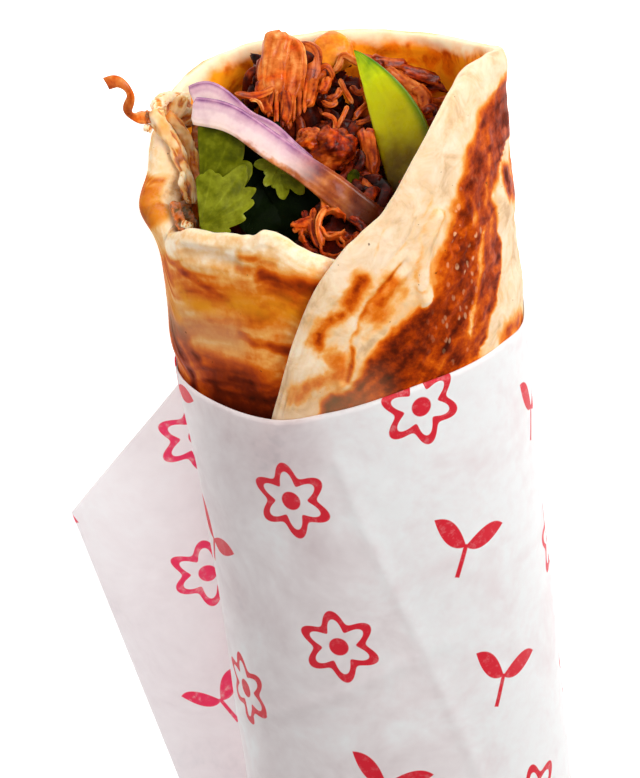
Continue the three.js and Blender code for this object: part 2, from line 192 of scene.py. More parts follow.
class Skin:
    """Collects closed surfaces, with values at their points, into one mesh."""

    def __init__(self):
        self.points, self.faces, self.values, self.count = [], [], {}, 0

    def add(self, points, faces, **values):
        points = np.asarray(points, float).reshape(-1, 3)
        self.points.append(points)
        self.faces += [[i + self.count for i in face] for face in faces]
        for name, value in values.items():
            filled = np.broadcast_to(np.asarray(value, float).reshape(-1), len(points))
            self.values.setdefault(name, []).append(filled)
        self.count += len(points)

    def piece(self, name, material, slot, replaced=(), uv=None):
        mesh = bpy.data.meshes.new(name)
        mesh.from_pydata(place(np.concatenate(self.points)).tolist(), [], self.faces)
        for key, values in self.values.items():
            attribute = mesh.attributes.new(key, "FLOAT", "POINT")
            attribute.data.foreach_set("value", np.concatenate(values).astype(np.float32))
        if uv is not None:
            corners = np.zeros(len(mesh.loops), np.int64)
            mesh.loops.foreach_get("vertex_index", corners)
            layer = mesh.uv_layers.new(name="sheet")
            layer.data.foreach_set("uv", np.asarray(uv, np.float32).reshape(-1, 2)[corners].ravel())
        mesh.polygons.foreach_set("use_smooth", np.ones(len(mesh.polygons), bool))
        mesh.materials.append(material)
        mesh.update()
        made = bpy.data.objects.new(name, mesh)
        bpy.context.scene.collection.objects.link(made)
        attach(made, "root")
        if replaced:
            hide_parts(*replaced)
        return made


def grid_faces(rows, columns, start=0, flip=False):
    """Quads of a (rows, columns) grid of points."""
    a = (start + np.arange(rows - 1)[:, None] * columns + np.arange(columns - 1)).ravel()
    quads = np.stack([a, a + 1, a + 1 + columns, a + columns], 1)
    return (quads[:, ::-1] if flip else quads).tolist()


def rim_indices(rows, columns):
    """A grid's border points in order."""
    top = np.arange(columns)
    right = np.arange(1, rows) * columns + columns - 1
    bottom = (rows - 1) * columns + np.arange(columns - 2, -1, -1)
    left = np.arange(rows - 2, 0, -1) * columns
    return np.concatenate([top, right, bottom, left])


def normals_of(middle):
    along = np.gradient(middle, axis=1)
    down = np.gradient(middle, axis=0)
    return unit(np.cross(along, down))


def thick_sheet(middle, outer, inner):
    """A closed sheet: middle (rows, columns, 3), with how far each face lies from it. Returns points, faces, side."""
    rows, columns = middle.shape[:2]
    n = normals_of(middle)
    faces_out = middle + n * outer[..., None]
    faces_in = middle - n * inner[..., None]
    count = rows * columns
    faces = grid_faces(rows, columns, flip=True) + grid_faces(rows, columns, count)
    ring = rim_indices(rows, columns)
    after = np.roll(ring, -1)
    faces += np.stack([ring, after, after + count, ring + count], 1).tolist()
    points = np.concatenate([faces_out.reshape(-1, 3), faces_in.reshape(-1, 3)])
    side = np.concatenate([np.zeros(count), np.ones(count)])
    return points, faces, side


def closed_rings(rings, first, last):
    """Faces for rings of points (rows, around, 3) between two poles. Returns points and faces."""
    rows, around = rings.shape[:2]
    points = np.concatenate([[first], rings.reshape(-1, 3), [last]])
    a = 1 + np.arange(around)
    b = 1 + (np.arange(around) + 1) % around
    faces = np.stack([np.zeros(around, int), b, a], 1).tolist()
    for j in range(rows - 1):
        low, high = j * around, (j + 1) * around
        faces += np.stack([a + low, b + low, b + high, a + high], 1).tolist()
    low = (rows - 1) * around
    faces += np.stack([np.full(around, len(points) - 1), a + low, b + low], 1).tolist()
    return points, faces


def curve(points, count):
    """count points along a smooth curve through the given ones, with its tangents."""
    p = np.asarray(points, float)
    along = np.concatenate([[0], np.cumsum(np.linalg.norm(np.diff(p, axis=0), axis=1))])
    t = np.linspace(0, along[-1], count)
    if len(p) == 2:
        spine = p[0] + (p[1] - p[0]) * (t / along[-1])[:, None]
    else:
        spine = np.stack([natural_spline(along, p[:, k], t) for k in range(3)], 1)
    return spine, unit(np.gradient(spine, axis=0))


def natural_spline(x, y, t):
    h = np.diff(x)
    n = len(x)
    a, b = np.eye(n), np.zeros(n)
    for i in range(1, n - 1):
        a[i, i - 1 : i + 2] = h[i - 1], 2 * (h[i - 1] + h[i]), h[i]
        b[i] = 6 * ((y[i + 1] - y[i]) / h[i] - (y[i] - y[i - 1]) / h[i - 1])
    m = np.linalg.solve(a, b)
    i = np.clip(np.searchsorted(x, t, side="right") - 1, 0, n - 2)
    u, w = t - x[i], x[i + 1] - t
    cubic = (m[i] * w**3 + m[i + 1] * u**3) / (6 * h[i])
    return cubic + (y[i] / h[i] - m[i] * h[i] / 6) * w + (y[i + 1] / h[i] - m[i + 1] * h[i] / 6) * u


def strand(points, width, thick, facing, around=10, along=14, power=1.0, grooves=None, slide=None):
    """A closed bar along a curve, wide across and thin towards facing. width and thick are functions of 0..1."""
    spine, tangent = curve(points, along)
    facing = np.broadcast_to(np.asarray(facing, float), spine.shape)
    normal = unit(facing - tangent * np.sum(facing * tangent, 1, keepdims=True))
    across = np.cross(normal, tangent)
    t = np.linspace(0, 1, along)
    turn = 2 * np.pi * np.arange(around) / around
    ca = np.sign(np.cos(turn)) * np.abs(np.cos(turn)) ** power
    sa = np.sign(np.sin(turn)) * np.abs(np.sin(turn)) ** power
    w = np.broadcast_to(width(t), t.shape)[:, None, None] / 2
    h = np.broadcast_to(thick(t), t.shape)[:, None, None] / 2
    swell = 1 if grooves is None else (1 + grooves(t[:, None], turn[None, :]))[..., None]
    rings = spine[:, None] + (across[:, None] * ca[None, :, None] * w + normal[:, None] * sa[None, :, None] * h) * swell
    if slide is not None:
        rings = rings + tangent[:, None] * slide[..., None]
    return closed_rings(rings, spine[0], spine[-1])


# ---- Materials ----


def linear(code):
    """A colour written as six hex digits, in linear light."""
    parts = [int(code[i : i + 2], 16) / 255 for i in (0, 2, 4)]
    return [((c + 0.055) / 1.055) ** 2.4 if c > 0.04045 else c / 12.92 for c in parts] + [1]


class Nodes:
    """Short words for wiring one material."""

    def __init__(self, name, **shader):
        self.material = bpy.data.materials.new(name)
        self.material.use_nodes = True
        self.tree = self.material.node_tree
        self.shader = self.tree.nodes["Principled BSDF"]
        self.set(self.shader, shader)
        self.object = self.add("ShaderNodeTexCoord").outputs["Object"]

    def set(self, node, inputs):
        for key, value in inputs.items():
            socket = node.inputs[key.replace("_", " ") if isinstance(key, str) else key]
            if isinstance(value, bpy.types.NodeSocket):
                self.tree.links.new(value, socket)
            else:
                socket.default_value = value

    def add(self, kind, inputs=None, **settings):
        made = self.tree.nodes.new(kind)
        for key, value in settings.items():
            setattr(made, key, value)
        self.set(made, inputs or {})
        return made

    def value(self, name):
        return self.add("ShaderNodeAttribute", attribute_name=name).outputs["Fac"]

    def stretched(self, scale):
        return self.add("ShaderNodeMapping", {0: self.object, 3: scale}).outputs[0]

    def noise(self, size_mm, detail=2.0, rough=0.5, distortion=0.0):
        inputs = {"Vector": self.object, "Scale": 1000 / size_mm, "Detail": detail, "Roughness": rough}
        return self.add("ShaderNodeTexNoise", {**inputs, "Distortion": distortion}).outputs["Fac"]

    def math(self, operation, a, b=0.0, c=0.0, clamp=False):
        return self.add("ShaderNodeMath", {0: a, 1: b, 2: c}, operation=operation, use_clamp=clamp).outputs[0]

    def fit(self, value, low, high, to_low=0.0, to_high=1.0):
        inputs = {"Value": value, "From Min": low, "From Max": high, "To Min": to_low, "To Max": to_high}
        return self.add("ShaderNodeMapRange", inputs, interpolation_type="SMOOTHSTEP").outputs["Result"]

    def ramp(self, value, stops):
        made = self.add("ShaderNodeValToRGB", {0: value})
        elements = made.color_ramp.elements
        while len(elements) < len(stops):
            elements.new(0.5)
        for element, (position, code) in zip(elements, stops):
            element.position = position
            element.color = linear(code)
        return made.outputs[0]

    def mix(self, share, a, b, blend="MIX"):
        made = self.add("ShaderNodeMix", {0: share}, data_type="RGBA", blend_type=blend)
        for index, value in ((6, a), (7, b)):
            self.set(made, {index: linear(value) if isinstance(value, str) else value})
        return made.outputs[2]

    def bump(self, height, distance_mm, strength=1.0):
        inputs = {"Height": height, "Distance": distance_mm / 1000, "Strength": strength}
        self.set(self.shader, {"Normal": self.add("ShaderNodeBump", inputs).outputs[0]})

    def done(self, colour=None, roughness=None):
        if colour is not None:
            self.set(self.shader, {"Base Color": colour})
        if roughness is not None:
            self.set(self.shader, {"Roughness": roughness})
        return self.material


# ---- The shape shared by bread and paper ----

rim_height = profile(PAPER_RIM)
bread_edge = profile(BREAD_EDGE)


def wrapped(angle):
    return np.mod(angle + 172, 360) - 172


def pressed(x, z):
    """The underside of every layer is pressed flat where the roll rests."""
    return np.maximum(z, UNDERSIDE_FLAT - np.hypot(x, z))


def around(angle, radius, y):
    x = radius * np.sin(np.radians(angle))
    z = pressed(x, radius * np.cos(np.radians(angle)))
    return np.stack(np.broadcast_arrays(x, y, z), -1)


def flare(angle, y):
    side = bump(wrapped(angle), -90, 32) + 0.4 * bump(wrapped(angle), 90, 32)
    return 1.2 * side * smoothstep(y, -26, 2)


# ---- Bread ----

FILL = 1.1  # how much further out the bread lies where only one layer of paper holds it
FILL_DOUBLE = 0.75  # and where two do
FOLD_IN = 5.7  # the left rim rolls over inwards by this much
FOLD_RISE = 9  # length of sheet taken up by that roll
FOLD_LENGTH = 12


def front(angle):
    """1 on the side where the paper lies singly, 0 where it lies double."""
    a = wrapped(angle)
    return smoothstep(a, -140, -112) * (1 - smoothstep(a, 68, 77))


def bread_outside(angle, y):
    a = wrapped(angle)
    rim = rim_height(a)
    bulge = 0.5 * bump(a, -90, 30) * bump(y, 6, 4) * smoothstep(y, rim, rim + 3)
    fill = lerp(FILL_DOUBLE, FILL, front(angle)) * (1 - 0.8 * smoothstep(y, rim + 1, rim + 10))
    fill = fill + 0.6 * bump(a, 98, 25) * smoothstep(y, rim - 10, rim - 4) * (1 - smoothstep(y, rim + 3, rim + 14))
    fill = fill + 0.4 * bump(a, 104, 26) * smoothstep(y, rim - 0.3, rim + 1.4) * (1 - smoothstep(y, rim + 3, rim + 9))
    return INSIDE_PAPER + flare(angle, y) + 1.2 * smoothstep(y, rim + 0.4, rim + 9) + bulge + fill


def rolled(unrolled):
    """How fully the rim is rolled over inwards: only on the left."""
    return smoothstep(unrolled, 148, 160) * (1 - smoothstep(unrolled, 174, 185))


def bread_middle(unrolled, down):
    """The middle of the bread's sheet, by unrolled angle and distance below its edge."""
    angle = BREAD_START - unrolled
    left = rolled(unrolled)
    s = np.clip(down / FOLD_LENGTH, 0, 1)
    y = bread_edge(unrolled) - down + FOLD_RISE * left * (1 - (1 - s) ** 3)
    fold = FOLD_IN * left * (1 - s) ** 2.6
    tongue = 2.4 * bump(unrolled, 163.5, 8) * bump(y, 30, 3.8)
    corner = bump(unrolled, 350, 16) * (0.8 * smoothstep(y, 29, 38) + 0.7 * smoothstep(y, 43, 48))
    corner = corner - 1.9 * bump(unrolled, 374, 13) * np.exp(-down / 7)
    tuck = (BREAD_THICKNESS + 0.6) * (1 - smoothstep(unrolled, 115, 160))
    radius = bread_outside(angle, y) - tuck - BREAD_THICKNESS / 2 + tongue + corner - fold
    return radius, y


# Toasted marks, each a line of (angle, y) points with its half width in mm and how dark it is.
# The first list lies on the outer flap, over the front and the right.
FLAP_MARKS = [
    ([(5, 23.8), (3, 21.3), (0, 20)], 1.9, 0.46),
    ([(0, 20), (-3, 18.6), (-7, 17), (-10, 14.8)], 1.8, 0.4),
    ([(4, 22.6), (3.4, 21.8)], 1.4, 0.56),
    ([(-2.4, 19.2), (-3, 18.8)], 1.2, 0.52),
    ([(-9.4, 15.4), (-9.8, 14.4)], 1.4, 0.56),
    ([(-7, 11.6), (-6, 9.4), (-10, 7.4)], 1.8, 0.32),
    ([(-7, 10.4), (-6.6, 9.6)], 1.2, 0.42),
    ([(-10, 7.4), (-15, 5.6), (-20, 3.8)], 1.9, 0.32),
    ([(14, 21.4), (11, 19.2), (8, 16.6)], 2.3, 0.25),
    ([(11.6, 19.8), (10, 18.6)], 1.5, 0.36),
    ([(58, 4.4), (66, 4.6), (78, 3.4)], 2.0, 0.48),
    ([(70, 31), (73, 27), (80, 25)], 1.9, 0.58),
    ([(82, 30), (87, 25.5), (93, 29)], 2.8, 0.58),
    ([(29, 2), (40, 4)], 2.4, 0.34),
]
FLAP_CORES = [
    ([(54, 39), (51, 35), (47, 30), (42, 25)], 1.6, 0.07),
    ([(36, 21), (40, 18), (44, 16)], 2.2, 0.07),
    ([(58, 22), (60, 17.5), (56, 13.5), (53, 10.5)], 1.6, 0.08),
    ([(17, 14.5), (13, 11.6)], 1.8, 0.1),
    ([(8, 6), (13, 5)], 2.0, 0.12),
    ([(30, 8), (37, 11)], 1.8, 0.07),
]
FLAP_LIGHTS = [
    ([(48, 31.8), (47.5, 27.5)], 0.8, 0.3),
    ([(52, 25), (50, 20.5), (48, 16.9), (44, 13.3), (41, 9)], 0.55, 0.36),
    ([(56, 24), (58, 32), (60, 36)], 0.5, 0.2),
    ([(24, 8.5), (28, 5.5)], 1.4, 0.16),
]
LEFT_MARKS = [
    ([(-39, 26.8), (-34, 26.2), (-27, 25.6)], 1.4, 0.32),
    ([(-42, 24.8), (-36, 24.3), (-28, 23.5)], 1.2, 0.42),
    ([(-31, 23.8), (-24, 23), (-10, 21.8)], 2.1, 0.6),
    ([(-30, 21.4), (-22, 20.6), (-12, 19.6)], 2.0, 0.46),
    ([(-76, 23.4), (-70, 22.8), (-64, 21.9), (-56, 20.6), (-48, 18.6)], 1.3, 0.5),
    ([(-43, 12.6), (-38, 11.9), (-32, 11.7), (-22, 10.6)], 1.6, 0.5),
    ([(-80, 11), (-75, 7.5), (-71, 3.5), (-72, -1)], 2.1, 0.76),
    ([(-76, 14), (-72, 11)], 1.5, 0.46),
    ([(-74, 10.5), (-69, 8.5), (-65, 6), (-62, 3)], 2.6, 0.62),
    ([(-66, 17.6), (-57, 17.4), (-48, 16.4)], 1.3, 0.32),
]
YOLK_MARKS = [
    ([(-70, 18.6), (-66, 16.6), (-56, 16.6), (-44, 17.8)], 1.4, 1),
    ([(-44, 18.4), (-30, 18.4), (-14, 18)], 2.3, 0.8),
    ([(-78, 15), (-73, 12.8)], 1.4, 0.8),
    ([(-97, 31.4), (-91, 30), (-86, 28.4)], 2.2, 0.8),
]
TONGUE = [(-97, 32), (-91, 30.4), (-86, 28.6)]
# How toasted the left side's dough is between its marks, by height.
LEFT_GROUND = profile([(-4, 0.82), (2, 0.76), (5.5, 0.62), (8.5, 0.34), (11, 0.24), (15, 0.26), (18.5, 0.36), (21, 0.3),
                       (24, 0.11), (27, 0.04), (31, 0.02)])  # fmt: skip
# Edges of the broad toasted band on the outer flap, as (y, angle).
BAND_LEFT = profile([(-4, -20), (3.5, -10), (5.3, -6), (8.9, -0.5), (12.4, 6.5), (13.5, 11), (15, 15), (16.4, 21), (17.6, 25),
                     (20.9, 27.5), (24.2, 30.5), (27.3, 34.5), (30.3, 38.5), (34, 42.5), (36.5, 46), (40.5, 54), (43, 59),
                     (45, 65), (47, 76)])  # fmt: skip
BAND_RIGHT = profile([(-4, 30), (3.8, 40), (7.1, 48), (11.4, 53), (14.4, 58), (19.5, 63), (22.6, 60), (27, 60),
                      (32, 64), (34.5, 68), (36, 95), (50, 95)])  # fmt: skip
DRIP = [(33, 31), (29, 27.8), (26, 24.4), (24, 20.7), (25, 18)]
CREASE = [(20, 25.1), (16, 23.6), (11, 21.7), (6, 19.3), (1, 14.8), (-2, 11.5), (-4, 7)]
# Painted shade: fine brown lines along the drip's rim, in the crease and in the folds beside it, as (points, distance,
# strength).
FOLD_SHADE_LINES = [
    (DRIP[:4], 1.15, 0.13),
    (CREASE, 0.0, 0.2),
    ([(34, 38), (31, 34), (24, 29.6), (18, 27)], 0.0, 0.1),
    ([(15, 32.4), (13, 30), (11.4, 27.6)], 0.0, 0.12),
    ([(-1, 12.4), (-4, 8), (-8, 3), (-12, -1)], 0.0, 0.14),
    ([(68, 40), (69, 32), (71, 24), (70, 12)], 0.0, 0.1),
]
RECESS = [(-63, 26), (-54, 26.3), (-47, 25.9), (-41, 25.5)]
ARC = math.radians(1) * 28.8  # mm on the bread's outside for each degree


def on_bread(points):
    return [(angle * ARC, y) for angle, y in points]


def marks(x, y, lines):
    """How marked each point is by the nearest stroke of (points, half width, strength), fading softly."""
    level = np.zeros(np.shape(x))
    for points, width, strength in lines:
        level = np.maximum(level, strength * np.exp(-((to_line(x, y, on_bread(points)) / width) ** 2)))
    return level


def toasting(unrolled, y, down):
    """0 for pale dough to 1 for char, on the bread's outside."""
    sheet_point = np.stack([np.radians(unrolled) * 28.8, y, np.zeros_like(y)], -1)
    layered = np.stack([sheet_point[..., 0], down, np.zeros_like(y)], -1)
    shift_x = 0.9 * noise(sheet_point, 5, 3, 2) + 0.28 * noise(sheet_point, 1.7, 4, 2)
    shift_y = 0.9 * noise(sheet_point, 5, 5, 2) + 0.28 * noise(sheet_point, 1.7, 6, 2)
    patchy = 1 + 0.3 * noise(sheet_point, 2.2, 7, 3)
    streak = noise(layered, (7, 1.1, 1), 8, 2)
    on_flap = smoothstep(unrolled, 325, 345)
    flap_x = (435 - unrolled) * ARC + shift_x
    left_x = (BREAD_START - unrolled) * ARC + shift_x
    v = y + shift_y
    pale = 0.05 + 0.05 * noise(sheet_point, 11, 10, 3) + 0.03 * streak
    from_left = flap_x - BAND_LEFT(v) * ARC
    from_right = BAND_RIGHT(v) * ARC - flap_x
    halo = lerp(1.7, 3.2, smoothstep(y, 8, 17))
    band = smoothstep(from_left / halo, -0.6, 1) * smoothstep(from_right, -0.8, 0.7) * smoothstep(v, 47, 44)
    inside = 0.6 + 0.06 * streak + 0.12 * noise(sheet_point, 3, 9, 3) + marks(flap_x, v, FLAP_CORES)
    inside = inside - marks(flap_x, y + 0.4 * shift_y, FLAP_LIGHTS)
    drip = smoothstep(to_line(flap_x, y, on_bread(DRIP)), 1.0, 1.5)
    flap = np.maximum(marks(flap_x, v, FLAP_MARKS) * patchy, band * inside * drip) + pale
    # Painted shade along the drip's rim and in the folds.
    for line, reach, dark in FOLD_SHADE_LINES:
        flap = flap + dark * np.exp(-(((to_line(flap_x, y + 0.3 * shift_y, on_bread(line)) - reach) / 0.36) ** 2))
    ground = LEFT_GROUND(y + 0.8 * shift_y + 0.9 * noise(sheet_point, 9, 11, 2))
    ground = lerp(ground, np.minimum(ground, 0.4), smoothstep(left_x / ARC, -60, -68))
    left = np.maximum(marks(left_x, y + 0.4 * shift_y, LEFT_MARKS) * lerp(1, patchy, 0.5), ground)
    left = left + 0.06 * streak * smoothstep(left, 0.08, 0.3) + 0.03 * streak
    left = left + 0.06 * noise(layered, (11, 0.8, 1), 22, 2) * smoothstep(y, 31, 26)
    tongue = 0.47 * np.exp(-((to_line(left_x, y + 0.3 * shift_y, on_bread(TONGUE)) / 2.1) ** 4))
    tongue = np.maximum(tongue, marks(left_x, y, [([(-99, 33.2), (-91, 33)], 0.55, 0.6)])) * patchy
    tongue = tongue * smoothstep(down + 0.4 * shift_x, 2.3, 3.6)
    stretched = noise(layered, (13, 6, 1), 21, 3)
    back = 0.62 * smoothstep(stretched, 0.1, 0.95) + 0.16 * smoothstep(noise(sheet_point, 5, 33, 2), 0.1, 0.8) + pale
    elsewhere = smoothstep(unrolled + 3 * noise(sheet_point, 6, 77, 2), 166, 177) * (1 - on_flap)
    toast = (np.maximum(left * smoothstep(y, 36, 30), tongue) + 0.03) * (1 - elsewhere) * (unrolled < 190)
    toast = toast + flap * on_flap + back * elsewhere
    grain = 0.03 * noise(sheet_point, 1.3, 41, 2) + 0.03 * noise(sheet_point, 5, 42, 2)
    return np.clip(toast + grain * (0.6 + toast), 0, 1), sheet_point


def bread_relief(unrolled, y, down, toast, sheet_point):
    """How far the bread's outside stands out of its plain shape: waves, flakes, blisters, folds."""
    rim = rim_height(wrapped(BREAD_START - unrolled))
    free = smoothstep(y, rim - 1, rim + 3)
    waves = 0.3 * noise(sheet_point, 14, 51, 2)
    layer = np.stack([sheet_point[..., 0] / 13, down / 1.3, np.zeros_like(y)], -1)
    flakes = 0.13 * noise(layer, 1, 52, 2) * smoothstep(noise(sheet_point, 9, 53), -0.6, 0.3)
    saw = np.mod(noise(np.stack([sheet_point[..., 0], down, 0 * y], -1), (26, 7, 1), 54, 2) * 1.4 + down / 5, 1)
    steps = 0.13 * (saw - 0.5) * (1 - smoothstep(saw, 0.5, 1)) * smoothstep(noise(sheet_point, 8, 55), -0.3, 0.4)
    steps = steps * (1 - 0.8 * smoothstep(toast, 0.2, 0.45))
    blister = 0.14 * noise(sheet_point, 1.6, 56, 2) * smoothstep(toast, 0.35, 0.6) * smoothstep(unrolled, 345, 365)
    flap_x = (435 - unrolled) * ARC
    left_x = (BREAD_START - unrolled) * ARC
    on_flap = unrolled > 325
    bubbly = 0.32 * bump(flap_x, 42 * ARC, 3.6) * bump(y, 26, 5.5) * noise(sheet_point, 0.9, 58)
    drip = to_line(flap_x, y, on_bread(DRIP))
    marked = 0.7 * (1 - smoothstep(drip, 0.3, 1.5))
    fold = to_line(flap_x, y, on_bread(CREASE))
    marked = marked - 0.42 * (1 - smoothstep(fold, 0, 1.1)) + 0.2 * (1 - smoothstep(fold, 0.8, 2.4))
    marked = marked + 0.35 * marks(flap_x, y, FLAP_LIGHTS[1:2])
    second_layer = 0.6 * smoothstep(flap_x, 61 * ARC, 64 * ARC) * bump(y, 26, 6)
    marked = (marked + bubbly + second_layer) * on_flap
    recess = to_line(left_x, y, on_bread(RECESS))
    marked = marked - 0.5 * (1 - smoothstep(recess, 0, 2)) * (unrolled < 176)
    return (waves + flakes + steps + blister + marked) * free + 0.05 * noise(sheet_point, 7, 57)


BREAD_COLUMNS, BREAD_ROWS = 480, 98
bread_column = profile([(0, 0), (0.05, 85), (0.25, 150), (0.42, 212), (0.55, 345), (1, BREAD_TURN)])


def dough(skin, points, width, thick, toast, seed, around=30, along=70, power=0.9):
    """A crumbly strand of torn bread, with painted shade browning its pits."""
    t = np.linspace(0, 1, along)[:, None]
    turn = 2 * np.pi * np.arange(around)[None, :] / around
    where = np.stack(np.broadcast_arrays(np.cos(turn) * 2, np.sin(turn) * 2, t * 11), -1)
    lumps = 0.26 * noise(where, 1.9, seed, 2) + 0.14 * noise(where, 0.6, seed + 3, 2)
    made, faces = strand(points, width, thick, OPENING, around, along, power, lambda *_: lumps)
    # Painted shade: the pits between the lumps are browned.
    pit_shade = np.concatenate([[0], smoothstep(lumps, 0.02, -0.26).ravel(), [0]])
    level = toast + 0.42 * pit_shade + 0.16 * noise(made, 1.8, seed + 5, 2)
    skin.add(made, faces, toast=np.clip(level, 0, 1), inside=0, down=8, yolk=0, beige=0, crumb=0.2, wall=0, flap=0, glint=0)


def torn_rim():
    """The left rim's torn layers: a lumpy rope of dough, its loops, and the fold behind it."""
    skin = Skin()

    def even(size, tip=0.12):
        return lambda t: rounded(t, size, tip, 1 - tip)

    first = [(-27.4, 44.4, -4), (-26.2, 41.4, -3), (-25, 39.4, -2.2), (-24.2, 37.6, -1), (-23.7, 35.6, 0), (-23.2, 33.8, 1),
             (-22.9, 31.6, 2.2), (-22.8, 30, 3)]  # fmt: skip
    dough(skin, first, lambda t: 2.7 * (1 - 0.45 * t) * rounded(t, 1, 0.06, 0.92), lambda t: 2.4 * (1 - 0.4 * t), 0.08, 201, 34, 110)
    second = [(-25.4, 42.8, -5.4), (-23.8, 40.8, -5), (-22.8, 38.8, -4.2), (-22.2, 36.6, -2.6), (-22, 34.4, -1),
              (-21.9, 31.8, 0.8), (-22.4, 29.8, 2.6)]  # fmt: skip
    dough(skin, second, lambda t: 2.0 * (1 - 0.3 * t), even(1.8, 0.08), 0.24, 205, 30, 90)
    dough(skin, [(-23.6, 35.2, 1.4), (-24.2, 33.4, 2), (-23.8, 31.4, 2.8), (-23.1, 30.2, 3.4)], even(1.2), even(1.1), 0.14, 207, 26, 50)
    dough(skin, [(-25.2, 43.4, -8), (-23, 41.8, -7.6), (-21.6, 39.6, -7)], even(5.4, 0.3), even(3.2, 0.3), 0.1, 211)
    dough(skin, [(-27.4, 43.8, -5.4), (-25.8, 44.5, -7.6), (-23.6, 44.3, -9), (-21.4, 42.8, -9.4)], even(1.9), even(1.8), 0.02, 215)
    dough(skin, [(-30.2, 42.9, -4.4), (-28.6, 43.4, -4.2), (-27.2, 42.6, -3.4)], even(1.9), even(1.5), 0.4, 219, 30, 40)
    dough(skin, [(-29.2, 41.9, -3.6), (-28, 41.5, -3)], even(1.3), even(1.1), 0.02, 223, 24, 24)
    dough(skin, [(-20.4, 41.0, -7.4), (-20.8, 36.8, -4.6), (-21.4, 32.4, -1.6)], even(2.2), even(1.4), 0.5, 227)
    dough(skin, [(-20.9, 36, -3), (-21.4, 32.6, -0.6), (-21.8, 29.4, 2.4)], even(1.6), even(1.2), 0.6, 229)
    dough(skin, [(-24.4, 30.4, 2.2), (-24, 28.6, 4.6), (-23, 27.4, 7)], even(2.2), even(1.5), 0.66, 231)
    dough(skin, [(-26, 31.4, 4.2), (-25.4, 29.2, 6), (-24.8, 27.6, 8)], even(1.8), even(1.3), 0.5, 235, 30, 50)
    dough(skin, [(-25, 28.7, 7.4), (-23.2, 28.1, 8.2)], even(1.3), even(1.1), 0.0, 239, 24, 24)
    dough(skin, [(-28.2, 6.4, 1.4), (-29.2, 5.7, 1), (-29.9, 6.3, 0.8)], even(0.9, 0.4), even(0.6), 1.0, 243, 16, 20)
    return skin


def bread():
    u = np.linspace(0, 1, BREAD_COLUMNS)[None, :]
    v = np.linspace(0, 1, BREAD_ROWS)[:, None]
    unrolled = np.broadcast_to(bread_column(u), (BREAD_ROWS, BREAD_COLUMNS))
    edge = bread_edge(unrolled) + FOLD_RISE * rolled(unrolled)
    rim = rim_height(wrapped(BREAD_START - unrolled))
    knee = edge - np.minimum(rim, edge - 8)
    share = np.minimum(v / 0.86, 1)
    below = np.clip((v - 0.86) / 0.14, 0, 1)
    down = knee * share**1.2 + (edge - BREAD_BOTTOM - knee) * below**2.5
    ragged = np.stack([np.radians(unrolled) * 28.8, 0 * down, 0 * down], -1)
    ruffle = smoothstep(unrolled, 152, 160) * (1 - smoothstep(unrolled, 186, 196))
    torn = 0.25 + 0.35 * ruffle
    fray = (0.5 * noise(ragged, 5, 61, 2) + 0.2 * noise(ragged, 1.6, 62)) * torn * np.exp(-down / 3)
    radius, y = bread_middle(unrolled, down)
    y = y + fray
    toast, sheet_point = toasting(unrolled, y, down)
    relief = bread_relief(unrolled, y, down, toast, sheet_point)
    crumbly = ruffle * np.exp(-((down / 3.4) ** 2))
    radius = radius + 0.3 * crumbly * noise(sheet_point, (2.6, 3, 1), 63, 2)
    middle = around(BREAD_START - unrolled, radius, y)
    half = BREAD_THICKNESS / 2 * lerp(0.4, 1, np.sqrt(np.clip(np.minimum(down / 2.8, (1 - u) * 60), 0, 1)))
    flatten = 1 - 0.3 * smoothstep(unrolled, 380, 420) * np.exp(-down / 6)
    resting = lerp(0.2, 1, smoothstep(middle[..., 2], -26, -22))
    outer = half * flatten + relief * resting * smoothstep(down, 0, 1.4) + 0.4 * crumbly * noise(sheet_point, 1.5, 64, 2)
    inside = 0.35 * noise(sheet_point, 6, 65, 2) + 0.12 * noise(sheet_point, 1.8, 66)
    inner = half * flatten + inside * smoothstep(down, 0, 2) + 0.3 * crumbly * noise(sheet_point, 1.7, 67, 2)
    points, faces, side = thick_sheet(middle, outer, inner)

    def both(a):
        return np.tile(np.broadcast_to(a, down.shape).ravel(), 2)

    skin = Skin()
    left_x = (BREAD_START - unrolled) * ARC
    at_left = smoothstep(unrolled, 178, 168)
    yolk = marks(left_x, y, YOLK_MARKS) * at_left
    # A tan band on the left at mid height, with painted shade in the recess and, below, low on the flap by the paper.
    beige = bump(y, 12, 3.4) * at_left * smoothstep(unrolled, 112, 124)
    beige = np.maximum(beige, marks(left_x, y, [(RECESS, 1.2, 0.8)]) * at_left)
    flap_x = (435 - unrolled) * ARC
    # Where warm glints are painted on the flap's bubbles: a painted highlight.
    glint = bump(flap_x, 42 * ARC, 4.2) * bump(y, 25, 7) + 0.5 * bump(flap_x, 36 * ARC, 4) * bump(y, 11, 5)
    beige = np.maximum(beige, 0.6 * smoothstep(y, 12, 3) * smoothstep(flap_x, 16 * ARC, 0) * (unrolled > 400))
    skin.add(
        points,
        faces,
        toast=both(toast),
        inside=side,
        down=both(down),
        yolk=both(yolk),
        beige=both(beige),
        crumb=both(0.6 * crumbly),
        wall=both(smoothstep(unrolled, 186, 225)),
        flap=both(smoothstep(unrolled, 325, 350)),
        glint=both(glint),
    )
    material = bread_material()
    torn_rim().piece("flatbread_torn_layers", material, "flatbread")
    return skin.piece("flatbread", material, "flatbread", ["bread"])


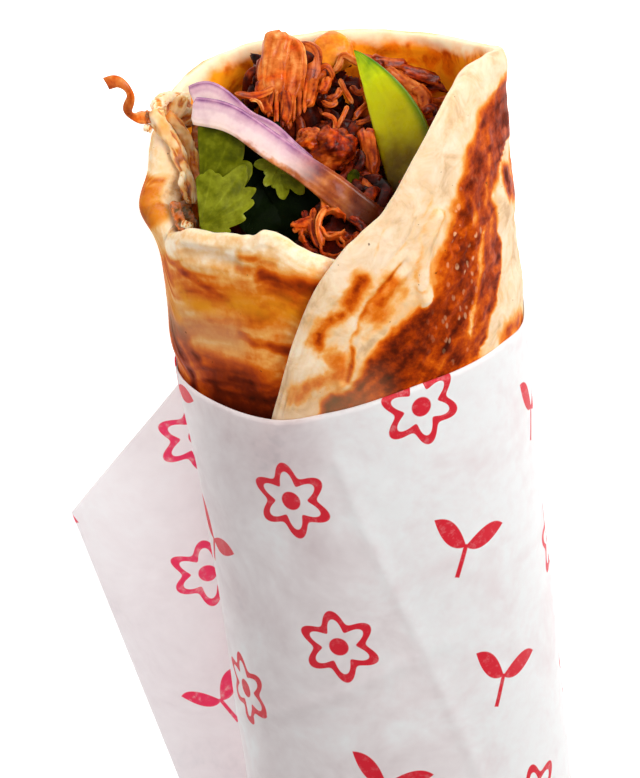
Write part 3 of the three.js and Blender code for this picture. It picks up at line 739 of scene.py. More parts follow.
def bread_material():
    m = Nodes(
        "flatbread",
        Subsurface_Weight=0.22,
        Subsurface_Radius=(0.003, 0.0014, 0.0006),
        Subsurface_Scale=0.7,
        Specular_IOR_Level=0.05,
    )
    toast, inside, down, wall = m.value("toast"), m.value("inside"), m.value("down"), m.value("wall")
    roughened = m.math("ADD", 0.03, m.math("MULTIPLY", m.value("flap"), m.fit(toast, 0.3, 0.55, 0, 0.06)))
    fine = m.math("MULTIPLY", m.fit(m.noise(1.1, 3, 0.65), 0.28, 0.72, -1, 1), roughened)
    cloud = m.fit(m.noise(6, 3, 0.6, distortion=0.4), 0.3, 0.7, -0.05, 0.06)
    level = m.math("ADD", m.math("ADD", toast, fine), cloud, clamp=True)
    outside = m.ramp(
        level,
        [
            (0.0, "FBE8CC"),
            (0.1, "F0C792"),
            (0.22, "E4A050"),
            (0.36, "D46C12"),
            (0.48, "BE4C04"),
            (0.62, "983202"),
            (0.8, "621A02"),
            (1.0, "2A0A01"),
        ],
    )
    # Painted shade: on the flap the pale dough is a darker, greyer mottled copy of the pale dough elsewhere.
    pale = m.ramp(m.noise(4.5, 4, 0.62, distortion=0.6), [(0.3, "BC9266"), (0.45, "DCBA92"), (0.64, "E8D2B6")])
    flap = m.math("MULTIPLY", m.value("flap"), m.fit(level, 0.26, 0.04, 0, 0.85))
    outside = m.mix(flap, outside, pale)
    # Tan on the left, with painted shade in the recess and low on the flap by the paper.
    outside = m.mix(m.math("MULTIPLY", m.value("beige"), 0.55), outside, "BC8E66")
    yolk = m.math("MULTIPLY", m.value("yolk"), m.fit(m.noise(3.5, 3, 0.6), 0.35, 0.6, 0.25, 0.75))
    outside = m.mix(yolk, outside, "DE9212")
    speck = m.fit(m.noise(0.9, 1, 0.5), 0.775, 0.8)
    outside = m.mix(m.math("MULTIPLY", speck, 0.7), outside, "5A2C0A")
    stain = m.fit(m.noise(4.5, 3, 0.62, distortion=0.6), 0.42, 0.62)
    reach = m.math("ADD", m.math("ADD", down, m.math("MULTIPLY", wall, 1.5)), m.fit(m.noise(4, 3), 0.3, 0.7, -0.7, 0.7))
    stain = m.math("MULTIPLY", m.math("MULTIPLY", stain, m.fit(wall, 0, 1, 0.5, 1)), m.fit(reach, 2.6, 4.2), clamp=True)
    golden = m.mix(m.fit(reach, 1.2, 4.4), "FFE9C4", "FF9A16")
    within = m.mix(stain, golden, m.ramp(m.noise(2.2, 3, 0.6), [(0.35, "C44600"), (0.6, "F07404")]))
    colour = m.mix(inside, outside, within)
    crumbs = m.ramp(m.noise(1.1, 3, 0.65), [(0.3, "A8601C"), (0.44, "E6B064"), (0.6, "FBE3BA")])
    colour = m.mix(m.value("crumb"), colour, crumbs)
    m.bump(m.noise(0.8, 3, 0.6), 0.12, 0.5)
    # Painted highlight: small warm glints on the flap's bubbles, as drops of lighter colour.
    drops = m.add("ShaderNodeTexVoronoi", {"Vector": m.stretched((1, 0.6, 1)), "Scale": 1000 / 1.3})
    glint = m.math("MULTIPLY", m.fit(drops.outputs["Distance"], 0.34, 0.2), m.fit(m.noise(2.4, 1), 0.42, 0.54))
    glint = m.math("MULTIPLY", m.math("MULTIPLY", glint, m.value("glint")), 0.75)
    colour = m.mix(glint, colour, "F4BE8C")
    shine = m.math("ADD", m.fit(m.noise(3, 2), 0.3, 0.7, -0.06, 0.06), m.fit(toast, 0.3, 0.6, 0.56, 0.46))
    shine = m.math("ADD", shine, m.fit(toast, 0.66, 0.8, 0, 0.3))
    return m.done(colour, shine)


# ---- Paper ----

PAPER_BARREL = 125
PAPER_CORNER = 6
CAP_HOLE = 0.6  # what stays open where the closed end is gathered
WRAP_START = 188
WRAP_TURN = 470
TAIL_REACH = 54.6
TAIL_CORNER_Y = -38.7
TAIL_SLANT = 0.188
PAPER_MIDDLE = ROLL_RADIUS - 0.2
PAPER_HALF = 0.11
TAIL_SHARE = 0.2
PAPER_GAP = 0.34  # between the middles of two windings
# Folds pressed into the paper, as lines of (angle, y).
LONG_FOLD = [(-9, -8), (0, -26), (12, -46), (24, -70), (38, -100)]
CROSS_FOLD = [(-80, -66), (-24, -52.6), (1, -46.7), (19, -43.5)]


def rim_setback(angle):
    """How far below the outer rim the inner winding stops."""
    return 1 + 8 * bump(wrapped(angle), 108, 28)


def paper_barrel(angle, distance, winding):
    """The paper's middle by distance from its rim: down the barrel, round the corner, in to the centre."""
    radius = PAPER_MIDDLE - winding * PAPER_GAP
    end = winding * 1.3 - PAPER_BARREL
    rim = rim_height(wrapped(angle)) - winding * rim_setback(angle)
    straight = rim - end
    turn = np.clip((distance - straight) / PAPER_CORNER, 0, np.pi / 2)
    run = np.maximum(distance - straight - PAPER_CORNER * np.pi / 2, 0)
    r = np.maximum(radius - PAPER_CORNER * (1 - np.cos(turn)) - run, CAP_HOLE)
    dish = 2 * (1 - smoothstep(r, 0, 20)) * (turn > 0)
    pleat = 0.05 * r * (1 - smoothstep(r, 14, 24)) * np.sin(np.radians(12 * angle)) * (turn > 0)
    y = np.where(distance <= straight, rim - distance, end - PAPER_CORNER * np.sin(turn) + dish + pleat)
    return around(angle, r + flare(angle, y) * (distance <= straight), y)


def tail_edge(y):
    return -(TAIL_REACH + TAIL_SLANT * (y - TAIL_CORNER_Y))


def paper_tail(across, v):
    start = paper_barrel(np.array(WRAP_START), np.array(0.0), 0)
    top = lerp(TAIL_CORNER_Y, start[1], 1 - (1 - across) ** 1.5)
    y = lerp(top, -PAPER_BARREL, v)
    x = lerp(tail_edge(y), start[0], across)
    reach = -tail_edge(y) - 12
    q = (-x - 12) / reach
    crest = 9 * reach / (TAIL_REACH - 12)
    fall = np.clip((q - 0.55) / 0.45, 0, 1)
    lift = crest * smoothstep(q, 0, 0.55) * (1 - fall**2) + 0.7 * smoothstep(q, 0, 1)
    return np.stack([x, y, UNDERSIDE_FLAT - ROLL_RADIUS + 0.25 + lift], -1)


def paper():
    rows, columns = 148, 322
    u = np.linspace(0, 1, columns)[None, :]
    v = np.linspace(0, 1, rows)[:, None]
    u, v = np.broadcast_arrays(u, v)
    turned = np.clip((u - TAIL_SHARE) / (1 - TAIL_SHARE), 0, 1) * WRAP_TURN
    angle = WRAP_START - turned
    winding = smoothstep(turned, 275, 352)
    radius = PAPER_MIDDLE - winding * PAPER_GAP
    rim = rim_height(wrapped(angle)) - winding * rim_setback(angle)
    end = winding * 1.3 - PAPER_BARREL
    full = PAPER_CORNER * np.pi / 2 + radius - PAPER_CORNER - CAP_HOLE
    cap = full * smoothstep(turned, 0, 118)
    down = np.minimum(v / 0.8, 1)
    last = np.clip((v - 0.8) / 0.2, 0, 1)
    distance = (rim - end) * down + cap * last
    barrel = paper_barrel(angle, distance, winding)
    tail_v = np.broadcast_to(v, u.shape)
    tail = paper_tail(np.clip(u / TAIL_SHARE, 0, 1), tail_v)
    on_tail = (u <= TAIL_SHARE)[..., None]
    middle = np.where(on_tail, tail, barrel)
    across = np.where(u <= TAIL_SHARE, (u / TAIL_SHARE - 1) * 50, turned * math.radians(1) * 28.8)
    height = np.where(u <= TAIL_SHARE, middle[..., 1], rim - distance)
    sheet_point = np.stack([across, height, 0 * across], -1)
    normal = normals_of(middle)
    loose = 1 - 0.75 * smoothstep(v, 0.78, 0.84)
    free = smoothstep(v, 0, 0.03) * smoothstep(np.minimum(u, 1 - u), 0, 0.02)
    wave = 0.22 * noise(sheet_point, 24, 71, 2)
    crease = (1 - np.abs(noise(sheet_point, 19, 72, 2))) ** 6
    wrinkle = 0.16 * crease * smoothstep(noise(sheet_point, 30, 73), -0.2, 0.5) + 0.035 * noise(sheet_point, 5, 74, 2)
    outermost = (turned < 290) & (u > TAIL_SHARE)
    per_degree = math.radians(1) * 28.8
    long_fold = to_line(angle * per_degree, middle[..., 1], [(a * per_degree, b) for a, b in LONG_FOLD])
    cross_fold = to_line(angle * per_degree, middle[..., 1], [(a * per_degree, b) for a, b in CROSS_FOLD])
    wrinkle = wrinkle + 0.34 * outermost * np.exp(-((np.minimum(long_fold, cross_fold) / 1.1) ** 2))
    snug = 1 - 0.9 * bump(wrapped(angle), 106, 30) * smoothstep(middle[..., 1], -14, -2)
    resting = smoothstep(middle[..., 2], -27.9, -25.5)
    rise = np.clip((wave + wrinkle) * loose, -0.12, 0.45) * free * snug * resting
    tail_rise = np.clip(wave * 1.6 + wrinkle, 0, 0.6) * free
    middle = middle + normal * np.where(u <= TAIL_SHARE, -tail_rise, rise)[..., None]
    half = np.full(u.shape, PAPER_HALF)
    points, faces, _ = thick_sheet(middle, half, half)
    skin = Skin()
    # Painted shade: the paper is coloured darker and pinker on the barrel's left and on the tail towards the barrel,
    # and painted lighter right of the long fold.
    on_left = smoothstep(angle, 12, -30) * (u > TAIL_SHARE)
    beside = angle * per_degree + 0.27 * middle[..., 1] + 7  # mm to the right of the long fold
    lit = (0.5 * smoothstep(beside, -1.5, 2) + 0.5 * smoothstep(beside, 0, 20)) * (u > TAIL_SHARE)
    height = middle[..., 1]
    by_barrel = smoothstep(u / TAIL_SHARE, 0.35, 0.9) * smoothstep(height, -45, -80)
    tail_shade = 0.55 + 0.55 * smoothstep(height, -30, -68) + 0.8 * by_barrel
    barrel_shade = 0.3 + on_left * (0.3 + 0.3 * smoothstep(height, -70, -30)) - 0.7 * lit
    shaded = np.clip(np.where(u <= TAIL_SHARE, tail_shade, barrel_shade), 0, 2)
    on_tail = 1.0 * np.tile((u <= TAIL_SHARE).ravel(), 2)
    skin.add(points, faces, tail=on_tail, shaded=np.tile(shaded.ravel(), 2))
    uv = np.tile(sheet_point[..., :2].reshape(-1, 2) / 1000, (2, 1))
    return skin.piece("greaseproof_paper", paper_material(), "wrap_paper", ["paper_wrap"], uv)


def print_on(m):
    """Red flowers, leaf pairs and dots on a slanted grid. Returns 1 where there is ink."""
    place_on = m.add("ShaderNodeUVMap", uv_map="sheet").outputs[0]
    turned = m.add("ShaderNodeMapping", {0: place_on, 2: (0, 0, math.radians(-24)), 3: (1000, 1000, 1)}).outputs[0]
    xy = m.add("ShaderNodeSeparateXYZ", {0: turned})
    step_x, step_y = 31.0, 23.0
    row = m.math("FLOOR", m.math("DIVIDE", xy.outputs[1], step_y))
    odd = m.math("MODULO", m.math("ABSOLUTE", row), 2)
    moved = m.math("ADD", xy.outputs[0], m.math("MULTIPLY", odd, step_x / 2))
    column = m.math("FLOOR", m.math("DIVIDE", moved, step_x))
    x = m.math("SUBTRACT", m.math("SUBTRACT", moved, m.math("MULTIPLY", column, step_x)), step_x / 2)
    y = m.math("SUBTRACT", m.math("SUBTRACT", xy.outputs[1], m.math("MULTIPLY", row, step_y)), step_y / 2)
    r = m.math("SQRT", m.math("ADD", m.math("MULTIPLY", x, x), m.math("MULTIPLY", y, y)))
    turn = m.math("ARCTAN2", y, x)
    petals = m.math("COSINE", m.math("MULTIPLY", turn, 6))
    edge = m.math("ADD", m.math("MULTIPLY", petals, 1.15), 5.0)
    ring = m.math("ABSOLUTE", m.math("SUBTRACT", r, edge))
    flower = m.math("MINIMUM", m.math("SUBTRACT", ring, 0.85), m.math("SUBTRACT", r, 1.7))
    side = m.math("ABSOLUTE", x)
    leaf_x = m.math("SUBTRACT", side, 3.6)
    leaf_y = m.math("SUBTRACT", y, m.math("MULTIPLY", side, 0.55))
    along = m.math("DIVIDE", leaf_x, 3.7)
    girth = m.math("MULTIPLY", m.math("SUBTRACT", 1.0, m.math("MULTIPLY", along, along)), 1.9)
    leaf = m.math("SUBTRACT", m.math("ABSOLUTE", leaf_y), girth)
    stem_x = m.math("SUBTRACT", side, 0.45)
    stem_y = m.math("SUBTRACT", m.math("ABSOLUTE", m.math("ADD", y, 2.6)), 3.0)
    leaves = m.math("MINIMUM", leaf, m.math("MAXIMUM", stem_x, stem_y))
    kind = m.math("MODULO", m.math("ADD", m.math("ADD", column, row), 300), 2)
    ink = m.add("ShaderNodeMix", {0: kind, 2: flower, 3: leaves}, data_type="FLOAT").outputs[0]
    return m.fit(ink, -0.12, 0.1, 1, 0)


def paper_material():
    m = Nodes(
        "greaseproof_paper",
        Specular_IOR_Level=0.35,
        Subsurface_Weight=0.6,
        Subsurface_Radius=(0.002, 0.002, 0.002),
        Subsurface_Scale=1.0,
    )
    ink = print_on(m)
    cloud = m.noise(15, 4, 0.62, distortion=0.3)
    mottled = m.noise(3.2, 3, 0.6)
    # Painted shade: where shaded is high the paper's colour is darker and pinker.
    level = m.math("SUBTRACT", cloud, m.math("MULTIPLY_ADD", m.value("shaded"), 0.32, -0.12))
    base = m.ramp(level, [(0.0, "A29298"), (0.2, "DEC9CA"), (0.45, "F6E8E8"), (0.65, "FFFDFC")])
    base = m.mix(m.fit(mottled, 0.35, 0.75, 0, 0.3), base, "EFDFE0")
    base = m.mix(m.math("MULTIPLY", m.value("tail"), 0.55), base, "DFDBDE")
    faded = m.math("MULTIPLY", ink, m.fit(m.noise(1.5, 3, 0.7), 0.25, 0.5, 0.88, 1))
    colour = m.mix(faded, base, "DC1228")
    m.bump(m.noise(1.1, 3, 0.6), 0.05, 0.35)
    return m.done(colour, m.fit(cloud, 0.3, 0.7, 0.5, 0.68))


# ---- Filling ----

LUMPS = [
    (-5.6, -16.5, 19.4, 7, 5.5), (2.5, -20, 15, 4.5, 4.5), (3, -8, 7, 4, 4),
    (17, -14, 4.5, 7, 5), (2.5, 2, 4, 3.5, 3), (-3, 15, 2.5, 5, 3.5),
]  # fmt: skip
HOLLOW = (-12, 8, 8, 9, 6)


def mound(x, z, one):
    cx, cz, h, wx, wz = one
    return h * np.exp(-(((x - cx) / wx) ** 4) - ((z - cz) / wz) ** 4)


def heap_height(x, z, share=1.0):
    """Height of the filling's top, with its lumps at their full height or a share of it."""
    level = 31 - 0.012 * np.maximum(z, 0) ** 2 + 0.7 * np.sin(x * 0.9 + 1) * np.cos(z * 1.1)
    lump = np.max([mound(x, z, one) for one in LUMPS], axis=0)
    return level + lump * share - mound(x, z, HOLLOW)


def meat_material(name, coat, shine=0.12):
    """Fibrous cooked meat in red-brown sauce. Attribute tone picks the colour."""
    m = Nodes(
        name,
        Subsurface_Weight=0.08,
        Subsurface_Radius=(0.002, 0.0007, 0.0004),
        Subsurface_Scale=0.4,
        Specular_IOR_Level=shine,
        Coat_Weight=coat,
        Coat_Roughness=0.16,
    )
    sauce = m.fit(m.noise(2.6, 3, 0.6), 0.3, 0.7, -0.1, 0.1)
    fine = m.fit(m.noise(0.6, 2, 0.6), 0.3, 0.7, -0.04, 0.04)
    tone = m.math("ADD", m.math("ADD", m.value("tone"), sauce), fine, clamp=True)
    colour = m.mix(m.fit(m.noise(3.2, 3, 0.6), 0.45, 0.68), m.ramp(tone, MEAT), m.ramp(tone, SAUCE))
    colour = m.mix(m.value("gold"), colour, m.ramp(m.noise(2.4, 3, 0.6), [(0.35, "CE6204"), (0.65, "FA9C1A")]))
    m.bump(m.noise(0.6, 3, 0.65), 0.1, 0.6)
    return m.done(colour, m.fit(m.noise(1.3, 2), 0.3, 0.7, 0.3, 0.5))


MEAT = [(0.0, "180300"), (0.2, "460C01"), (0.38, "7E2804"), (0.55, "B04A0C"), (0.72, "CE6C28"), (0.88, "E2944E"), (1.0, "F2BE80")]
SAUCE = [(0.0, "1A0200"), (0.2, "4C0900"), (0.38, "902402"), (0.55, "C44604"), (0.72, "DE600E"), (0.88, "F08624"), (1.0, "F8A848")]


def core():
    """The heap under the loose pieces, dark with painted shade for the gaps between them."""
    around_count, rings = 120, 46
    turn = np.linspace(0, 360, around_count, endpoint=False)[None, :]
    v = np.linspace(0, 1, rings + 2)[1:-1, None]
    bore = 21.4
    r = bore * np.minimum(np.minimum(v / 0.8, (1 - v) / 0.08), 1)
    x, z = r * np.sin(np.radians(turn)), r * np.cos(np.radians(turn))
    where = np.stack([x, z, 0 * x], -1)
    height = heap_height(x, z, 0.6) - 2.2 + 0.9 * noise(where, 4, 81, 3) - 3 * smoothstep(r, bore - 4, bore)
    y = lerp(height, -121, np.clip((v - 0.8) / 0.12, 0, 1))
    points = np.stack([x, y, pressed(x, z)], -1)
    ends = [(0, heap_height(0, 0, 0.6) - 2.2, 0), (0, -121, 0)]
    points, faces = closed_rings(points, *ends)
    # Painted shade: a near black tone for the gaps between the pieces.
    tone = 0.1 + 0.1 * noise(points, 2.5, 82, 2)
    skin = Skin()
    skin.add(points, faces, tone=tone, gold=0)
    return skin.piece("chicken_core", meat_material("chicken_core", 0, 0.04), "chicken", ["chicken_filling"])


def chunk(
    skin, points, width, thick, tone, fibres=3, seed=0, ragged=0.0, depth=0.2, groove_shade=0.34, around=30, along=36, gold=0.0, fade=0.0
):
    """A piece of meat whose fibres run along it, dark between them and in lines across them: sauce and painted shade.
    """
    picks = np.random.default_rng(seed).uniform(0, 2 * np.pi, 3)
    t = np.linspace(0, 1, along)[:, None]
    turn = 2 * np.pi * np.arange(around)[None, :] / around
    over = np.cos(turn) * fibres / 2 + 0.25 * np.sin(turn)
    wander = 0.3 * np.sin(3.1 * t + picks[0]) + 0.14 * np.sin(8.3 * t + picks[1] + 2 * over)
    coarse = np.abs(np.sin(np.pi * (over + wander))) ** 0.5
    fine = np.abs(np.sin(np.pi * (2.7 * over + 1.6 * wander + 0.3 * np.sin(13 * t + picks[2])))) ** 0.6
    where = np.stack(np.broadcast_arrays(np.cos(turn) * 3, np.sin(turn) * 3, t * 6), -1)
    swell = depth * (coarse - 0.7) + 0.3 * depth * (fine - 0.7) + 0.1 * noise(where, 1.5, seed + 5, 2)
    ends = smoothstep(t, 0.6, 1) - smoothstep(t, 0.4, 0)
    slide = ragged * noise(np.stack([over * 1.4, 0 * over, 0 * over], -1), 1, seed + 7) * ends
    made, faces = strand(points, width, thick, OPENING, around, along, 0.75, lambda *_: swell, slide)
    # Painted shade in the grooves between the fibres and in lines across them, with sauce.
    shade = tone - groove_shade * (1 - coarse) - 0.35 * groove_shade * (1 - fine)
    crossing = np.abs(np.sin(np.pi * (t * 4.2 + picks[0] + 0.12 * np.sin(2 * turn) + 0.06 * noise(where, 1.1, seed + 11))))
    shade = shade - 0.5 * groove_shade * np.exp(-((crossing / 0.09) ** 2)) * (along > 45) - fade * smoothstep(t, 0.42, 0.05)
    shade = np.concatenate([[tone], shade.ravel(), [tone]]) + 0.12 * noise(made, (1.4, 4, 1.4), seed + 9, 2)
    skin.add(made, faces, tone=np.clip(shade, 0, 1), gold=gold)


def rounded(t, peak, start=0.25, stop=0.75):
    """A width that rises from a blunt end, holds, and falls to the other."""
    return peak * np.sqrt(np.clip(smoothstep(t, -0.02, start), 0.02, 1)) * np.sqrt(np.clip(1 - smoothstep(t, stop, 1.02), 0.02, 1))


def pieces(skin, table, seed):
    """Many chunks from (points, width, tone, fibres, ragged)."""
    for index, (points, width, tone, fibres, ragged) in enumerate(table):
        chunk(skin, points, lambda t, w=width: rounded(t, w, 0.12, 0.88), lambda t, w=width: rounded(t, 0.65 * w, 0.12, 0.88),
              tone, fibres, seed + index, ragged)  # fmt: skip


def chunks():
    skin = Skin()
    body = [(-6.8, 39, -9.2), (-7.3, 42.6, -11), (-6.7, 46, -13.6), (-5.8, 48.8, -15.4), (-5.0, 50.5, -16.4)]
    chunk(skin, body, lambda t: 5.3 * np.sqrt(1 - smoothstep(t, 0.9, 1.02) * 0.97) * (0.72 + 0.28 * smoothstep(t, 0, 0.5)),
          lambda t: rounded(t, 3.2, 0.2, 0.9), 0.76, 5, 1, 0.12, 0.07, 0.16, 96, 80, 0, 0.3)  # fmt: skip
    fold = [(-5.4, 40.2, -9), (-3.7, 44.2, -12), (-3.1, 47, -14.4), (-3.6, 49.4, -16)]
    chunk(skin, fold, lambda t: rounded(t, 3.4, 0.3, 0.8), lambda t: rounded(t, 2.4, 0.2, 0.8), 0.74, 3, 2, 0.3, 0.1, 0.22, 64, 60, 0, 0.2)
    wing = [(-2.4, 42.0, -12.6), (-0.9, 44, -14), (-0.6, 46.2, -15.4), (-1.8, 47.8, -16.4)]
    chunk(skin, wing, lambda t: rounded(t, 3.2, 0.3, 0.7), lambda t: rounded(t, 1.6, 0.3, 0.7), 0.66, 3, 3, 0.5, 0.14, 0.3, 56, 50)
    table = [
        ([(-5.8, 39.6, -8), (-3.8, 41.4, -11.4), (-2.4, 43.2, -13)], 2.1, 0.6, 2, 0.5),
        ([(-2.7, 39.4, -9.6), (-1.4, 41.4, -12), (0, 43.2, -14), (1.2, 43.9, -14.6)], 2.5, 0.66, 3, 0.3),
        ([(-6.2, 38.6, -4.8), (-5.8, 40.8, -7.6), (-6, 42.8, -9.6)], 1.8, 0.56, 2, 0.3),
        ([(-8.4, 40, -7), (-9.6, 42.2, -9.6), (-9.3, 44.2, -11.6)], 2.0, 0.58, 2, 0.4),
        ([(-13.7, 44.3, -7), (-11.1, 43.2, -7.6), (-7, 43.3, -10.4)], 1.2, 0.74, 2, 0.3),
        ([(-11.6, 43.6, -4.8), (-10.3, 43.3, -4.6), (-9.6, 41.7, -3.8)], 0.55, 0.86, 1, 0),
        ([(7.4, 43.6, -14.6), (5.8, 44.5, -15.6), (4.6, 44.8, -16.4), (3.7, 43.6, -15.6), (2.8, 43, -14.6)], 1.2, 0.72, 2, 0.2),
        ([(0.1, 43.8, -14.4), (1.6, 44.4, -13.8), (2.3, 43.2, -13.6), (2.5, 42.2, -13.4)], 1.0, 0.66, 2, 0.2),
        ([(1.8, 43, -12.8), (0.9, 41.8, -11.8), (0.2, 40.7, -10.8)], 1.7, 0.6, 2, 0.3),
        ([(3.5, 42.2, -13), (4.1, 40.9, -11), (5.1, 39, -9)], 0.9, 0.74, 2, 0.2),
        ([(5.2, 41, -12), (6.2, 40.2, -11), (7.8, 40.8, -10)], 1.2, 0.64, 2, 0.2),
        ([(1.1, 40.5, -8.8), (2.6, 40.9, -8.8), (3.4, 41.5, -9.8)], 1.1, 0.62, 2, 0.2),
        ([(0, 40.3, -8.6), (1.7, 39.8, -7.8), (2.7, 40.3, -8.6)], 1.0, 0.7, 2, 0.2),
        ([(-0.2, 39.2, -5.8), (1.6, 38.3, -5.6), (1.4, 36.4, -3.6)], 0.7, 0.66, 1, 0.1),
        ([(1.9, 36.7, -4.6), (3.3, 38.4, -5.8), (4.2, 39.6, -6.8)], 0.75, 0.7, 1, 0.1),
        ([(4.9, 37.8, -5.6), (6.5, 38.8, -6.6), (8, 39.4, -7.8)], 1.1, 0.62, 2, 0.2),
        ([(5.2, 37.1, -4.6), (7.3, 37.7, -4.6), (8.2, 38.4, -4.6)], 0.9, 0.56, 2, 0.2),
    ]
    pieces(skin, table, 11)
    frayed = [
        ([(-7.6, 43.4, -10.0), (-8.3, 41.6, -8.2), (-9, 39.6, -6.6)], 0.9, 0.52, 1, 0.2),
        ([(-6.9, 43, -9.4), (-7.5, 40.6, -7.2), (-7.8, 38.4, -5.6)], 0.8, 0.62, 1, 0.2),
        ([(-6.1, 42.8, -9.2), (-6.5, 40.4, -6.8), (-6.9, 37.9, -5)], 0.7, 0.5, 1, 0.2),
        ([(-5.2, 42.6, -9.2), (-5.6, 40, -7), (-5.7, 37.6, -5.2)], 0.9, 0.6, 2, 0.2),
        ([(-4.2, 42.8, -10), (-4.6, 40.6, -8), (-5, 38.2, -6.2)], 0.7, 0.66, 1, 0.2),
        ([(-3.2, 43, -10.8), (-3.6, 40.8, -8.8), (-4, 38.8, -7)], 0.8, 0.54, 1, 0.2),
        ([(-2, 43.4, -11.8), (-2.6, 41.2, -9.6), (-3, 39.2, -7.8)], 0.7, 0.64, 1, 0.2),
    ]
    pieces(skin, frayed, 131)
    golden = [(2.4, 41.4, -17.6), (2.9, 44.6, -19.6), (3.2, 47.6, -21.8)]
    chunk(skin, golden, lambda t: rounded(t, 7.4, 0.4, 0.62), lambda t: rounded(t, 4), 0.93, 3, 31, 0, 0.04, 0.1, 64, 50, 0.9)
    by_lime = [(7.0, 31.4, 4.4), (6.8, 34.4, 1.6), (6.5, 37.1, -1.4)]
    chunk(skin, by_lime, lambda t: rounded(t, 2.7, 0.3, 0.9), lambda t: rounded(t, 2.2), 0.58, 3, 41, 0.3)
    right = [
        ([(11.4, 41.2, -16.4), (14, 39, -15.6), (16.6, 37.2, -14.4)], 2.6, 0.8, 3, 0.4),
        ([(15.4, 38.4, -14.8), (17, 36.6, -13.4), (16.2, 34.8, -11.8)], 2.8, 0.7, 3, 0.4),
        ([(13.8, 40.6, -18), (17, 39.2, -17.8), (20.4, 37.6, -17.6)], 2.2, 0.52, 3, 0.5),
        ([(18, 37.4, -17.4), (20.4, 37, -17.2), (22.4, 36, -16)], 1.8, 0.3, 2, 0.5),
        ([(17.4, 36, -14.6), (19.4, 35.6, -13.8), (21, 35.8, -13.6)], 1.4, 0.58, 2, 0.4),
        ([(16.2, 34.6, -11.2), (17.8, 35.4, -11.8), (19.2, 34.8, -11.6)], 1.5, 0.54, 2, 0.3),
        ([(12.4, 37.6, -13.4), (14.6, 36.8, -12.8), (15.6, 35.2, -11.6)], 2.0, 0.64, 2, 0.4),
        ([(9.4, 43, -18), (12, 41.8, -18.4), (14.8, 41, -18.8)], 2.0, 0.56, 2, 0.4),
        ([(6.4, 43.6, -18.4), (9, 42.6, -18), (11.4, 41.4, -17.4)], 2.0, 0.5, 2, 0.4),
    ]
    pieces(skin, right, 51)
    return skin.piece("chicken_chunks", meat_material("chicken_chunks", 0.08), "chicken")


def crumbly_lump(skin, centre, size, tone, seed):
    rows, columns = 40, 64
    polar = np.linspace(0, np.pi, rows + 2)[1:-1, None]
    turn = np.linspace(0, 2 * np.pi, columns, endpoint=False)[None, :]
    way = np.stack(np.broadcast_arrays(np.sin(polar) * np.cos(turn), np.cos(polar), np.sin(polar) * np.sin(turn)), -1)
    swell = 1 + 0.22 * noise(way, 0.55, seed, 3) + 0.1 * np.abs(noise(way, 0.16, seed + 3, 2))
    rings = np.asarray(centre) + way * swell[..., None] * np.asarray(size)
    first = np.asarray(centre) + np.array([0, 1, 0]) * np.asarray(size)
    last = np.asarray(centre) - np.array([0, 1, 0]) * np.asarray(size)
    points, faces = closed_rings(rings, first, last)
    skin.add(points, faces, tone=tone + 0.18 * noise(points, 0.8, seed + 5, 2), gold=0)


def shreds():
    """Loose shreds strewn over the heap, crumbs, and the lump by the onion."""
    skin = Skin()
    lime_line = [(6.4, -10.4), (11.3, 15)]
    count = 0
    while count < 420:
        x, z = RNG.uniform(-20, 21), RNG.uniform(-20, 17)
        if math.hypot(x, z) > 20.5 or mound(x, z, HOLLOW) > 2 or (x < -2 and -2 < z < 12) or (x < 8 and z > 10):
            continue
        if to_line(np.array(x), np.array(z), lime_line) < 2.2:
            continue
        height = float(heap_height(x, z, 0.75)) - 1.0 + RNG.uniform(-1.6, 1.6)
        slope = [float(heap_height(x + 1, z, 0.75) - heap_height(x, z, 0.75)),
                 float(heap_height(x, z + 1, 0.75) - heap_height(x, z, 0.75))]  # fmt: skip
        heading = RNG.uniform(0, 2 * np.pi)
        way = np.array([np.cos(heading), 0, np.sin(heading)])
        way[1] = np.clip(slope @ way[[0, 2]], -2.0, 2.0) + RNG.normal(0, 0.35)
        way = unit(way)
        length = RNG.uniform(3, 8) * (0.7 if np.hypot(*slope) > 1.5 else 1)
        bend = RNG.normal(0, 0.18, 3) * length
        middle = np.array([x, height, z])
        points = [middle - way * length / 2, middle + bend, middle + way * length / 2]
        if max(math.hypot(q[0], q[2]) for q in points) > 22.5:
            continue
        width = RNG.uniform(0.8, 2.6)
        tone = RNG.choice([0.17, 0.25, 0.34, 0.44, 0.6], p=[0.2, 0.3, 0.28, 0.16, 0.06])
        chunk(skin, points, lambda t, w=width: rounded(t, w, 0.08, 0.92), lambda t, w=width: rounded(t, 0.6 * w, 0.1, 0.9),
              tone, 1 + round(width), count + 300, 0.25 * width, 0.24, 0.24, 13, 14)  # fmt: skip
        count += 1
    crumbly_lump(skin, (0.6, 35.6, 1.6), (4.0, 3.2, 3.0), 0.38, 95)
    crumbly_lump(skin, (-2.6, 37.6, 1.0), (2.2, 1.8, 2.0), 0.5, 99)
    return skin.piece("chicken_shreds", meat_material("chicken_shreds", 0.05), "chicken")


